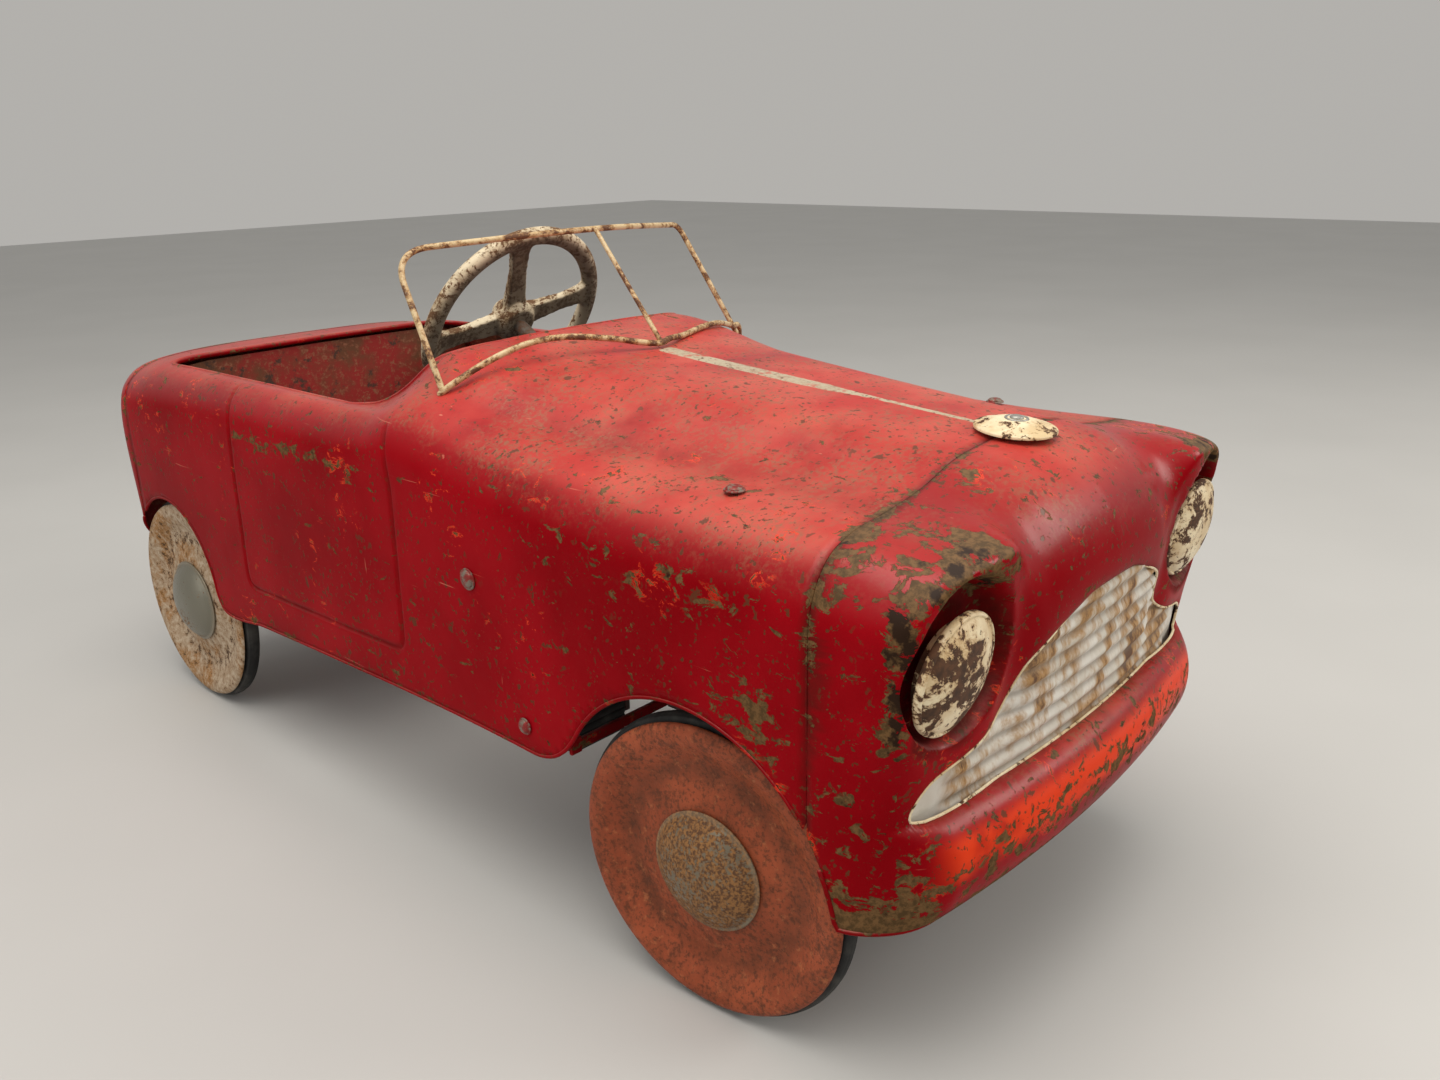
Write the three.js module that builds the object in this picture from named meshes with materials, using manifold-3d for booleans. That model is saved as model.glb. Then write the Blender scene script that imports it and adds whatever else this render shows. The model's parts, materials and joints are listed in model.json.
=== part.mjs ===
// A child's pressed-steel pedal car: body pressings, chassis, steering, pedal drive and wheels.
// Millimetres, +Z up. The car faces -Y and X = 0 is its centre plane. The origin is on the ground,
// under the middle of its length. A "station" is a distance behind the front axle.
import * as THREE from "three";
import { mergeVertices } from "three/addons/utils/BufferGeometryUtils.js";
import Module from "manifold-3d";

const wasm = await Module();
wasm.setup();

// ---------- driving dimensions ----------
const frontAxleY = -314.6;
const wheelbase = 680;
const noseStation = -88; // seam between the nose pressing and the body
const tailStation = 752; // seam between the body and the tail pressing
const tailEndStation = 795;
const sheet = 2; // pressing thickness
const gap = 0.3; // between pieces that touch

const wheelRadius = 100;
const wheelFacets = 24;
const wheelPlaneX = 176; // middle of the tyre
const tyreWidth = 14;
const discRadius = 93;
const hubcapRadius = 38.5;
const hubcapHeight = 14;
const axleRadius = 6;
const axleZ = wheelRadius;

const kingpinX = 150;
const steeringArm = 60;
const dropArm = 70;
const wheelSteerAtRest = THREE.MathUtils.degToRad(5);
const columnTurnAtRest = (wheelSteerAtRest * steeringArm) / dropArm;
const columnTilt = THREE.MathUtils.degToRad(30);
const steeringWheelStation = 383.5;
const steeringWheelZ = 377;
const steeringWheelRadius = 89;
const steeringSpokes = [-16, 72, -104]; // degrees from the top of the wheel

const crankThrow = 35;
const crankX = 58;
const pedalPivotStation = 200;
const pedalPivotZ = 243;
const rodPinZ = 133;
const leverX = 64.5;

const railX = 138;
const railThickness = 4;
const railHeight = 20;

const seatZ = 182;
const bulkheadStation = 708;

const lampX = 150;
const lampStation = -150;
const lampZ = 264;
const lampRadius = 35.5;
const lampTilt = THREE.MathUtils.degToRad(8);

const frontArch = { station: 4, z: 100, radius: 113 };
const rearArch = { station: 692, z: 119, radius: 84 };

const at = (station) => frontAxleY + station;

// ---------- materials ----------
const finish = (color, roughness, metalness) =>
  new THREE.MeshStandardMaterial({ color, roughness, metalness });
const redPaint = finish(0x9c1018, 0.45, 0.1);
const chassisPaint = finish(0x4a0d12, 0.6, 0.1);
const creamPaint = finish(0xcbbd93, 0.6, 0.1);
const silverPaint = finish(0xa9a9a4, 0.5, 0.3);
const oxideRed = finish(0xa2402f, 0.7, 0.1);
const rustyCream = finish(0xb39a6c, 0.75, 0.1);
const plating = finish(0x8f8a80, 0.4, 0.8);
const bareSteel = finish(0x5d5148, 0.6, 0.6);
const rubber = finish(0x17181a, 0.85, 0.0);

// ---------- small tools ----------
const clamp = (v, low, high) => Math.min(high, Math.max(low, v));
const step = (low, high, v) => {
  const t = clamp((v - low) / (high - low), 0, 1);
  return t * t * (3 - 2 * t);
};
const mix = (a, b, t) => a + (b - a) * t;

// A smooth curve through knots [[t, value], ...], by cubic Hermite pieces.
function smooth(knots, t) {
  const last = knots.length - 1;
  const slope = (i) => {
    const a = knots[Math.max(0, i - 1)];
    const b = knots[Math.min(last, i + 1)];
    return (b[1] - a[1]) / (b[0] - a[0]);
  };
  let i = 0;
  while (i < last - 1 && t > knots[i + 1][0]) i += 1;
  const [t0, v0] = knots[i];
  const [t1, v1] = knots[i + 1];
  const h = t1 - t0;
  const k = clamp((t - t0) / h, 0, 1);
  const k2 = k * k;
  const k3 = k2 * k;
  return (
    v0 * (2 * k3 - 3 * k2 + 1) +
    slope(i) * h * (k3 - 2 * k2 + k) +
    v1 * (3 * k2 - 2 * k3) +
    slope(i + 1) * h * (k3 - k2)
  );
}

function geometryFrom(vertices, triangles) {
  const g = new THREE.BufferGeometry();
  g.setAttribute("position", new THREE.Float32BufferAttribute(vertices, 3));
  g.setIndex(triangles);
  return g;
}

function toSolid(geometry) {
  const g = geometry.clone();
  g.deleteAttribute("normal");
  g.deleteAttribute("uv");
  const merged = mergeVertices(g, 1e-3);
  const triVerts = [];
  const index = merged.index.array;
  for (let i = 0; i < index.length; i += 3) {
    const [a, b, c] = [index[i], index[i + 1], index[i + 2]];
    if (a !== b && b !== c && a !== c) triVerts.push(a, b, c);
  }
  return new wasm.Manifold(
    new wasm.Mesh({
      numProp: 3,
      vertProperties: new Float32Array(merged.attributes.position.array),
      triVerts: new Uint32Array(triVerts),
    }),
  );
}

function fromSolid(solid) {
  const mesh = solid.getMesh();
  return geometryFrom(Array.from(mesh.vertProperties), Array.from(mesh.triVerts));
}

function facingOut(geometry) {
  if (toSolid(geometry).volume() < 0) geometry.index.array.reverse();
  return geometry;
}

const join = (first, ...rest) =>
  fromSolid(rest.reduce((s, g) => s.add(toSolid(g)), toSolid(first)));
const cut = (first, ...rest) =>
  fromSolid(rest.reduce((s, g) => s.subtract(toSolid(g)), toSolid(first)));

function box(x0, x1, y0, y1, z0, z1) {
  const g = new THREE.BoxGeometry(x1 - x0, y1 - y0, z1 - z0);
  return g.translate((x0 + x1) / 2, (y0 + y1) / 2, (z0 + z1) / 2);
}

// Cylinder of length h along a unit direction, centred on a point.
function rod(radius, h, direction, centre, sides = 16) {
  const g = new THREE.CylinderGeometry(radius, radius, h, sides);
  const turn = new THREE.Quaternion().setFromUnitVectors(
    new THREE.Vector3(0, 1, 0),
    new THREE.Vector3(...direction),
  );
  return g.applyQuaternion(turn).translate(...centre);
}

// Solid of revolution about +X from a closed profile of [radius, x] points.
function turned(profile, segments) {
  const points = [...profile, profile[0]].map(([r, h]) => new THREE.Vector2(r, h));
  const g = new THREE.LatheGeometry(points, segments, Math.PI / segments);
  return facingOut(g.rotateZ(-Math.PI / 2));
}

// A centre line with its corners rounded: points are [x, y, z, bend radius].
function bentLine(points, perBend = 4) {
  const out = [];
  points.forEach(([x, y, z, radius = 0], i) => {
    const p = new THREE.Vector3(x, y, z);
    if (!radius || i === 0 || i === points.length - 1) {
      out.push(p);
      return;
    }
    const before = new THREE.Vector3(...points[i - 1].slice(0, 3)).sub(p);
    const after = new THREE.Vector3(...points[i + 1].slice(0, 3)).sub(p);
    const half = before.angleTo(after) / 2;
    const reach = Math.min(radius / Math.tan(half), 0.49 * before.length(), 0.49 * after.length());
    const start = p.clone().addScaledVector(before.normalize(), reach);
    const end = p.clone().addScaledVector(after.normalize(), reach);
    const curve = new THREE.QuadraticBezierCurve3(start, p, end);
    out.push(...curve.getPoints(perBend));
  });
  return out;
}

// Round bar along a list of centre points, with flat ends.
function bar(centres, radius, sides = 6) {
  const vertices = [];
  const triangles = [];
  const tangent = (i) =>
    centres[Math.min(i + 1, centres.length - 1)]
      .clone()
      .sub(centres[Math.max(i - 1, 0)])
      .normalize();
  const across = new THREE.Vector3(0, 0, 1);
  if (Math.abs(tangent(0).z) > 0.9) across.set(0, 1, 0);
  centres.forEach((c, i) => {
    const t = tangent(i);
    across.addScaledVector(t, -across.dot(t)).normalize();
    const side = new THREE.Vector3().crossVectors(t, across);
    for (let k = 0; k < sides; k += 1) {
      const a = (2 * Math.PI * (k + 0.5)) / sides;
      const v = c
        .clone()
        .addScaledVector(across, radius * Math.cos(a))
        .addScaledVector(side, radius * Math.sin(a));
      vertices.push(v.x, v.y, v.z);
    }
  });
  for (let i = 0; i + 1 < centres.length; i += 1)
    for (let k = 0; k < sides; k += 1) {
      const a = i * sides + k;
      const b = i * sides + ((k + 1) % sides);
      triangles.push(a, a + sides, b, b, a + sides, b + sides);
    }
  const endRing = (centres.length - 1) * sides;
  for (let k = 1; k + 1 < sides; k += 1) {
    triangles.push(0, k, k + 1);
    triangles.push(endRing, endRing + k + 1, endRing + k);
  }
  return facingOut(geometryFrom(vertices, triangles));
}

// Sheet of a given thickness under a grid of surface points grid[row][column]. The thickness
// goes to the side that "inward" points to. A seam row keeps its edge face square to Y.
function pressing(grid, thickness, inward, seamRows = []) {
  const rows = grid.length;
  const columns = grid[0].length;
  const point = (r, c) => grid[clamp(r, 0, rows - 1)][clamp(c, 0, columns - 1)];
  const vertices = [];
  grid.forEach((line) => line.forEach((p) => vertices.push(p.x, p.y, p.z)));
  for (let r = 0; r < rows; r += 1)
    for (let c = 0; c < columns; c += 1) {
      const p = point(r, c);
      const along = point(r + 1, c).clone().sub(point(r - 1, c));
      const over = point(r, c + 1).clone().sub(point(r, c - 1));
      const normal = along.cross(over);
      if (seamRows.includes(r)) normal.y = 0;
      normal.normalize();
      if (normal.dot(inward(p)) < 0) normal.negate();
      const q = p.clone().addScaledVector(normal, thickness);
      vertices.push(q.x, q.y, q.z);
    }
  const triangles = [];
  const back = rows * columns;
  const id = (r, c) => r * columns + c;
  const quad = (a, b, c, d) => triangles.push(a, b, c, a, c, d);
  for (let r = 0; r + 1 < rows; r += 1)
    for (let c = 0; c + 1 < columns; c += 1) {
      quad(id(r, c), id(r, c + 1), id(r + 1, c + 1), id(r + 1, c));
      quad(
        back + id(r, c),
        back + id(r + 1, c),
        back + id(r + 1, c + 1),
        back + id(r, c + 1),
      );
    }
  const edge = [];
  for (let c = 0; c < columns; c += 1) edge.push(id(0, c));
  for (let r = 1; r < rows; r += 1) edge.push(id(r, columns - 1));
  for (let c = columns - 2; c >= 0; c -= 1) edge.push(id(rows - 1, c));
  for (let r = rows - 2; r > 0; r -= 1) edge.push(id(r, 0));
  edge.forEach((a, i) => {
    const b = edge[(i + 1) % edge.length];
    quad(a, back + a, back + b, b);
  });
  return facingOut(geometryFrom(vertices, triangles));
}

// Plate of the given outline [[a, b], ...], drawn in XZ and extruded from y0 to y1.
function plateXZ(outline, y0, y1) {
  const shape = new THREE.Shape(outline.map(([x, z]) => new THREE.Vector2(x, z)));
  const g = new THREE.ExtrudeGeometry(shape, { depth: y1 - y0, bevelEnabled: false });
  return g.rotateX(Math.PI / 2).translate(0, y1, 0);
}

// Plate of the given outline [[y, z], ...], extruded from x0 to x1.
function plateYZ(outline, x0, x1) {
  const shape = new THREE.Shape(outline.map(([y, z]) => new THREE.Vector2(y, z)));
  const g = new THREE.ExtrudeGeometry(shape, { depth: x1 - x0, bevelEnabled: false });
  return g.rotateZ(Math.PI / 2).rotateY(Math.PI / 2).translate(x0, 0, 0);
}

// Plate of the given outline [[x, y], ...], extruded from z0 to z1.
function plateXY(outline, z0, z1) {
  const shape = new THREE.Shape(outline.map(([x, y]) => new THREE.Vector2(x, y)));
  const g = new THREE.ExtrudeGeometry(shape, { depth: z1 - z0, bevelEnabled: false });
  return g.translate(0, 0, z0);
}

const mirrored = (half) => [...half, ...half.slice().reverse().map(([x, z]) => [-x, z])];

// ---------- body surface ----------
// Half-sections from the centre line over the bonnet, valley, wing crown and shoulder to the
// top of the flat side, as [x, z] at each station.
const sections = [
  [-88, [[0, 351], [60, 346.5], [95, 337], [130, 331.5], [158, 328.5], [178, 321], [190, 306], [195.5, 284]]],
  [0, [[0, 357], [62, 353], [96, 338], [126, 330], [152, 328], [176, 320], [190, 305], [195.5, 284]]],
  [100, [[0, 363], [68, 360], [106, 344], [134, 333], [158, 330], [178, 322], [190, 307], [195, 286]]],
  [200, [[0, 370], [76, 367], [118, 356], [147, 342], [168, 336], [184, 326], [192, 310], [195, 290]]],
  [270, [[0, 377], [82, 375], [126, 368], [152, 355], [172, 346], [187, 334], [194, 316], [195, 296]]],
  [300, [[0, 380], [82, 378], [124, 372], [150, 356], [171, 345], [187, 334], [194, 316], [195, 297]]],
  [335, [[0, 381], [76, 379], [116, 370], [144, 346], [162, 336], [178, 334], [191, 319], [195, 299]]],
  [372, [[0, 381], [70, 378], [110, 366], [140, 343], [161, 333], [176, 333], [190, 319], [195, 299]]],
  [540, [[0, 350], [70, 349], [110, 343], [140, 335], [161, 331], [175, 330], [188, 315], [192.5, 291]]],
  [700, [[0, 333], [70, 332.5], [110, 332], [140, 331], [161, 328], [174, 323], [185, 310], [190.5, 288]]],
  [752, [[0, 331], [70, 330.5], [110, 329], [140, 326], [160, 321.5], [173, 314.5], [184, 302], [189, 282]]],
];
const sill = [
  [-88, 116], [60, 122], [125, 131], [300, 130], [520, 119], [590, 112], [680, 136], [752, 150],
];

// The half-section at a station, resampled to count points evenly along its length.
function halfSection(station, count) {
  const controls = sections[0][1].map((_, k) =>
    [0, 1].map((axis) => smooth(sections.map(([s, line]) => [s, line[k][axis]]), station)),
  );
  const sideTop = controls[controls.length - 1];
  controls.push([sideTop[0], mix(sideTop[1], smooth(sill, station), 0.5)]);
  controls.push([sideTop[0], smooth(sill, station)]);
  let length = 0;
  const knots = controls.map((p, i) => {
    if (i) length += Math.hypot(p[0] - controls[i - 1][0], p[1] - controls[i - 1][1]);
    return length;
  });
  const along = (axis, d) => smooth(controls.map((p, i) => [knots[i], p[axis]]), d);
  return Array.from({ length: count }, (_, i) => {
    const d = (length * i) / (count - 1);
    return [along(0, d), along(1, d)];
  });
}

// The whole section, from the left sill over the top to the right sill.
function arch(station, halfCount) {
  const half = halfSection(station, halfCount);
  const left = half.slice(1).reverse().map(([x, z]) => [-x, z]);
  return [...left, ...half];
}

const fullWidth = 195.5;
const turn = (d, radius, power) => {
  const k = 1 - clamp(d / radius, 0, 1);
  return Math.pow(Math.max(0, 1 - Math.pow(k, power)), 1 / power);
};
const heightOf = (archLine, x) => {
  const i = archLine.findIndex((p, k) => k > 0 && p[0] >= x && archLine[k - 1][0] <= x);
  if (i < 0) return archLine[archLine.length - 1][1];
  const [a, b] = [archLine[i - 1], archLine[i]];
  return b[0] === a[0] ? Math.max(a[1], b[1]) : mix(a[1], b[1], (x - a[0]) / (b[0] - a[0]));
};

// Station of the front face at (x, z): a gently bowed plane, the bumper roll along its lower
// edge and a bowl round each headlamp.
const bumper = { z: 146, halfHeight: 35, bulge: 18 };
function faceStation(x, z) {
  const w = Math.abs(x);
  const plane = -152 + 14 * (w / 169) ** 2 - 0.11 * (z - 181);
  const lift = 1 - ((z - bumper.z) / bumper.halfHeight) ** 2;
  const roll = bumper.bulge * Math.sqrt(Math.max(0, lift)) * step(0, 45, fullWidth + 1 - w);
  const dz = (z - lampZ - 2) / (z > lampZ ? 50 : 42);
  const dx = (w - lampX) / (w > lampX ? 38 : 45);
  const bowl = 19 * (1 - step(0.9, 1.06, Math.hypot(dx, dz)));
  const valley = 2 * Math.exp(-(((w - 100) / 18) ** 2)) * step(181, 215, z);
  return plane - roll + bowl + valley;
}

// Rounded turn from the seam section on to the face: large over the bonnet's prow, tight along
// the brow over each lamp and down the outside of its pod.
function noseStationAt(x, z, top) {
  const w = Math.abs(x);
  const brow = step(72, 122, w);
  const overTop = turn(top - z, mix(76, 12, brow), mix(2, 2.4, brow));
  const roundSide = turn(fullWidth - w, mix(36, 16, step(205, 240, z)), 3);
  return mix(noseStation, faceStation(x, z), overTop * roundSide);
}

const tailBottom = 150;
function tailStationAt(x, z, top) {
  const face = tailEndStation - 20 * step(250, tailBottom, z);
  const amount = turn(top - z, 42, 2) * turn(189 - Math.abs(x), 34, 2.4);
  return mix(tailStation, face, amount);
}

// A cap over the end of the body: rows run from the seam section to the middle of its lower edge.
function capGrid(seamStation, stationAt, lowerHalfWidth, lowerZ, rows, halfCount) {
  const line = arch(seamStation, halfCount);
  const grid = [];
  for (let r = 0; r <= rows; r += 1) {
    const t = 1 - Math.cos((r / rows) * (Math.PI / 2));
    grid.push(
      line.map(([x, z], i) => {
        const inner = lowerHalfWidth * ((2 * i) / (line.length - 1) - 1);
        const px = mix(x, inner, t);
        const pz = mix(z, lowerZ, t);
        const station = r === 0 ? seamStation : stationAt(px, pz, heightOf(line, px));
        return new THREE.Vector3(px, at(station), pz);
      }),
    );
  }
  return grid;
}

// ---------- body pieces ----------
const archCutter = ({ station, z, radius }) =>
  rod(radius, 500, [1, 0, 0], [0, at(station), z], 40);

const cockpitHalf = [
  [0, 294], [80, 296], [112, 302], [130, 316], [143, 334], [154, 352], [161, 374],
  [161, 694], [152, 706], [0, 706],
];

function bodyShell() {
  const stations = [-87.7, -30, 40, 110, 170, 225, 270, 303, 337, 374, 480, 600, 694, 751.7];
  const grid = stations.map((s) => arch(s, 13).map(([x, z]) => new THREE.Vector3(x, at(s), z)));
  const inward = (p) => new THREE.Vector3(-p.x, 0, 200 - p.z);
  const skin = pressing(grid, sheet, inward, [0, stations.length - 1]);
  const opening = plateXY(
    [...cockpitHalf, ...cockpitHalf.slice(1, -1).reverse().map(([x, s]) => [-x, s])].map(
      ([x, s]) => [x, at(s)],
    ),
    295,
    420,
  );
  return cut(skin, opening, archCutter(frontArch), archCutter(rearArch));
}

const grilleHalf = [
  [0, 275], [26, 274], [40, 270], [66, 260], [84, 249], [93, 236], [100, 225], [114, 216],
  [136, 209], [157, 204], [166, 198], [171, 190], [171, 181], [100, 181], [0, 181],
];
const grilleOutline = [
  ...grilleHalf,
  ...grilleHalf.slice(1, -1).reverse().map(([x, z]) => [-x, z]),
];

function nosePanel() {
  const grid = capGrid(noseStation, noseStationAt, 150, 114, 12, 15);
  const skin = pressing(grid, sheet, (p) => new THREE.Vector3(-p.x / 4, 200, 230 - p.z), [0]);
  const window = plateXZ(grilleOutline, at(-190), at(-100));
  return cut(skin, window, archCutter(frontArch));
}

function tailPanel() {
  const grid = capGrid(tailStation, tailStationAt, 150, tailBottom, 7, 13);
  return cut(
    pressing(grid, sheet, (p) => new THREE.Vector3(-p.x / 4, -200, 200 - p.z), [0]),
    archCutter(rearArch),
  );
}

// Corrugated grille sheet behind its window.
function grille() {
  const ribs = 9;
  const rows = ribs * 2;
  const low = 172;
  const high = 274;
  const edge = [
    [172, 168], [203, 168], [209, 140], [216, 119], [225, 105], [236, 98], [249, 89], [260, 74],
    [270, 52], [274, 42],
  ];
  const grid = [];
  for (let r = 0; r <= rows; r += 1) {
    const z = mix(low, high, r / rows);
    const half = smooth(edge, z);
    const wave = r % 2 ? 2.5 : 0;
    grid.push(
      Array.from({ length: 9 }, (_, c) => {
        const x = half * (c / 4 - 1);
        const plane = -152 + 14 * (x / 169) ** 2 - 0.11 * (z - 181);
        return new THREE.Vector3(x, at(plane + 9.6 - wave), z);
      }),
    );
  }
  return pressing(grid, 1.2, () => new THREE.Vector3(0, 1, 0));
}

function seatPan() {
  const [x, front, rear] = [160, at(470), at(bulkheadStation - 4)];
  const innerRail = railX - railThickness / 2 - gap;
  return join(
    box(-x, x, front, rear, seatZ, seatZ + 3),
    box(-x, x, front, front + 3, seatZ - 7, seatZ),
    box(innerRail - 3, innerRail, front + 20, rear - 30, 147, seatZ),
    box(-innerRail, 3 - innerRail, front + 20, rear - 30, 147, seatZ),
  );
}

function rearBulkhead() {
  const half = [
    [0, 325], [120, 324], [158, 320], [172, 315],
    [179, 303], [183, 288], [183, 212], [160, 212], [160, seatZ],
  ];
  return plateXZ(mirrored(half), at(bulkheadStation), at(bulkheadStation + 2));
}

const columnAxis = new THREE.Vector3(0, Math.cos(columnTilt), Math.sin(columnTilt));
const columnPoint = (station) => {
  const back = (station - steeringWheelStation) / Math.cos(columnTilt);
  return new THREE.Vector3(0, at(steeringWheelStation), steeringWheelZ).addScaledVector(
    columnAxis,
    back,
  );
};
const dashStation = 284;
const bushRadius = 13;

function dashPanel() {
  const half = halfSection(dashStation, 14)
    .filter(([x]) => x < 180)
    .map(([x, z]) => [x * 0.97, z - 5]);
  const last = half[half.length - 1][0];
  const outline = mirrored([...half, [last, 300]]);
  const plate = plateXZ(outline, at(dashStation), at(dashStation + 2));
  const hole = columnPoint(dashStation + 1);
  return cut(plate, rod(bushRadius + gap, 60, columnAxis.toArray(), hole.toArray(), 20));
}

function columnBush() {
  const centre = columnPoint(dashStation + 1).toArray();
  const axis = columnAxis.toArray();
  return cut(
    rod(bushRadius, 16, axis, centre, 20),
    rod(axleRadius + 2 * gap, 40, axis, centre, 20),
  );
}

function headlamp() {
  const rim = lampRadius;
  return turned(
    [[0, 0], [26, 0], [26, 7], [rim, 7], [rim, 12], [28, 16.2], [15, 19.3], [0, 20.5]],
    20,
  );
}

const badge = () => turned([[0, 0], [25, 0], [25, 1.6], [17, 5.2], [5, 7], [0, 8.6]], 18);
const domedBolt = (r, h) => turned([[0, 0], [r, 0], [r * 0.8, h * 0.7], [0, h]], 10);

// ---------- windscreen ----------
const screenRod = 2.4;
const screenFoot = { x: 155.5, station: 268, z: 357.2 };
const screenBaseCentre = [0, at(204), 374.5];
const screenTop = { x: 146, station: 327, z: 447 };
const screenTopCentre = [0, at(273), 456];

function screenHoop() {
  const { x, station, z } = screenTop;
  const [fx, fs, fz] = [screenFoot.x, screenFoot.station, screenFoot.z];
  return bar(
    bentLine([
      [-fx, at(fs), fz],
      [-x, at(station), z, 24],
      [...screenTopCentre, 300],
      [x, at(station), z, 12],
      [fx, at(fs), fz],
    ], 6),
    screenRod,
  );
}

function screenBaseRail() {
  const height = [
    [-155, 352], [-128, 373], [-100, 383], [-72, 386], [-38, 381], [0, 374.5], [50, 372.5],
    [90, 373], [128, 366], [155, 356],
  ];
  const points = Array.from({ length: 21 }, (_, i) => {
    const x = 15.5 * (i - 10);
    const station = 204 + 0.34 * Math.abs(x);
    const resting = heightOf(arch(station, 40), x) + screenRod + 2 * gap;
    return new THREE.Vector3(x, at(station), Math.max(resting, smooth(height, x)));
  });
  return bar(points, screenRod);
}

function screenPost() {
  const top = new THREE.Vector3(...screenTopCentre);
  const foot = new THREE.Vector3(...screenBaseCentre);
  const way = top.clone().sub(foot).normalize();
  const inset = screenRod + 2 * gap + 0.4;
  return bar(
    [foot.addScaledVector(way, inset + 1), top.addScaledVector(way, -inset - 1)],
    screenRod - 0.4,
  );
}

// ---------- steering ----------
// Built about the column axis, which is local +Y; local -Z hangs down to the track rod.
const columnLowStation = 22;
function steeringColumn() {
  const top = 11;
  const length = (steeringWheelStation - columnLowStation) / Math.cos(columnTilt);
  const shaft = rod(axleRadius, length - top, [0, 1, 0], [0, -(length + top) / 2, 0], 14);
  const arm = box(-3.5, 3.5, -length, 8 - length, -dropArm, 0);
  const boss = rod(11, 8, [0, 1, 0], [0, 4 - length, 0], 14);
  const ball = new THREE.SphereGeometry(5.5, 12, 8).translate(0, 4 - length, -dropArm);
  return join(shaft, arm, boss, ball);
}

function steeringWheel() {
  const rimRadius = 8;
  const ringRadius = steeringWheelRadius - rimRadius;
  const rim = new THREE.TorusGeometry(ringRadius, rimRadius, 6, 24).rotateX(Math.PI / 2);
  const profile = [[0, -6], [16, -6], [20, 0], [13, 16], [9, 22], [0, 23]];
  const hub = turned(profile, 16).rotateZ(Math.PI / 2);
  const spoke = (angle) =>
    box(-7, 7, -4, 5, 8, ringRadius - 1).rotateY(THREE.MathUtils.degToRad(angle));
  return join(rim, hub.translate(0, -4, 0), ...steeringSpokes.map(spoke));
}

const trackZ = 98;
const lugGap = 6.4;
function trackRod() {
  const y = at(steeringArm);
  const tip = columnPoint(columnLowStation);
  const rodBar = rod(4, 2 * (kingpinX - 6), [1, 0, 0], [0, y, trackZ], 10);
  const lug = (side) =>
    box(
      Math.min(side * lugGap, side * (lugGap + 3)),
      Math.max(side * lugGap, side * (lugGap + 3)),
      y - 10,
      y + 8,
      trackZ,
      tip.z - dropArm * Math.cos(columnTilt) + 6,
    );
  const eye = (side) => rod(9, 6, [0, 0, 1], [side * kingpinX, y - 1.5, trackZ], 12);
  const eyeHole = (side) => rod(4.8, 20, [0, 0, 1], [side * kingpinX, y - 1.5, trackZ], 12);
  const web = box(-lugGap - 3, lugGap + 3, y - 10, y + 8, trackZ - 4, trackZ - 1);
  const whole = join(rodBar, lug(1), lug(-1), eye(1), eye(-1), web);
  return cut(whole, eyeHole(1), eyeHole(-1));
}

// Knuckle about its kingpin, local origin on the pin at axle height; side is +1 for the left.
function knuckle(side) {
  const x = (a, b) => (side > 0 ? [a, b] : [-b, -a]);
  const lug = (z0, z1) => box(...x(-10, 14.5), -10, 10, z0, z1);
  const web = box(...x(10.5, 14.5), -10, 10, -13, 13);
  const spindle = rod(axleRadius, 25, [1, 0, 0], [side * 24.5, 0, 0], 12);
  const arm = box(...x(-7, 7), 6, steeringArm + 7, -13, -8.6);
  const pin = rod(2.6, 15, [0, 0, 1], [0, steeringArm, -4], 10);
  const hole = rod(4.4, 60, [0, 0, 1], [0, 0, 0], 14);
  return cut(join(lug(8.6, 13), lug(-13, -8.6), web, spindle, arm, pin), hole);
}

const kingpin = () =>
  join(rod(4, 36, [0, 0, 1], [0, 0, 0], 14), rod(7, 4, [0, 0, 1], [0, 0, 18], 6));

function frontAxleBeam() {
  const innerRail = railX - railThickness / 2 - gap;
  const beam = box(-kingpinX, kingpinX, -9, 9, -8, 8);
  const eye = (side) => rod(9, 16, [0, 0, 1], [side * kingpinX, 0, 0], 18);
  const hole = (side) => rod(4.4, 40, [0, 0, 1], [side * kingpinX, 0, 0], 18);
  const leg = (side) =>
    box(
      Math.min(side * innerRail, side * (innerRail - 4)),
      Math.max(side * innerRail, side * (innerRail - 4)),
      -14,
      14,
      -8,
      88,
    );
  return cut(join(beam, eye(1), eye(-1), leg(1), leg(-1)), hole(1), hole(-1)).translate(
    0,
    frontAxleY,
    axleZ,
  );
}

const crossmemberHalf = railX - railThickness / 2 - gap;
function steeringCrossmember() {
  const bearing = columnPoint(62);
  const strap = box(-crossmemberHalf, crossmemberHalf, at(50), at(75), 166, 170);
  const block = box(-15, 15, at(52), at(72), 168, 204);
  return cut(
    join(strap, block),
    rod(axleRadius + 2 * gap, 80, columnAxis.toArray(), bearing.toArray(), 16),
  );
}

// ---------- chassis ----------
function chassisRail(side) {
  const line = [
    [-120, 152], [-60, 182], [0, 189], [50, 187], [95, 182], [128, 168], [152, 150], [172, 134],
    [560, 134], [640, 150], [744, 158],
  ];
  const half = railHeight / 2;
  const outline = [
    ...line.map(([s, z]) => [at(s), z + half]),
    ...line.slice().reverse().map(([s, z]) => [at(s), z - half]),
  ];
  const [inner, outer] = [railX - railThickness / 2, railX + railThickness / 2];
  return side > 0 ? plateYZ(outline, inner, outer) : plateYZ(outline, -outer, -inner);
}

function crossmember(station, depth, z, height) {
  const [x, y] = [crossmemberHalf, at(station)];
  return join(
    box(-x, x, y, y + depth, z + height - 3, z + height),
    box(-x, x, y, y + 3, z, z + height),
  );
}

// Flat strap across the car behind the front wheels, with a taller lug at each side of the body.
function sillStrap() {
  const [x, front, back] = [192.4, at(107), at(110)];
  return join(
    box(-x, x, front, back, 143.5, 151),
    box(-x, 9 - x, front, back, 141.5, 153),
    box(x - 9, x, front, back, 141.5, 153),
  );
}

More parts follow.
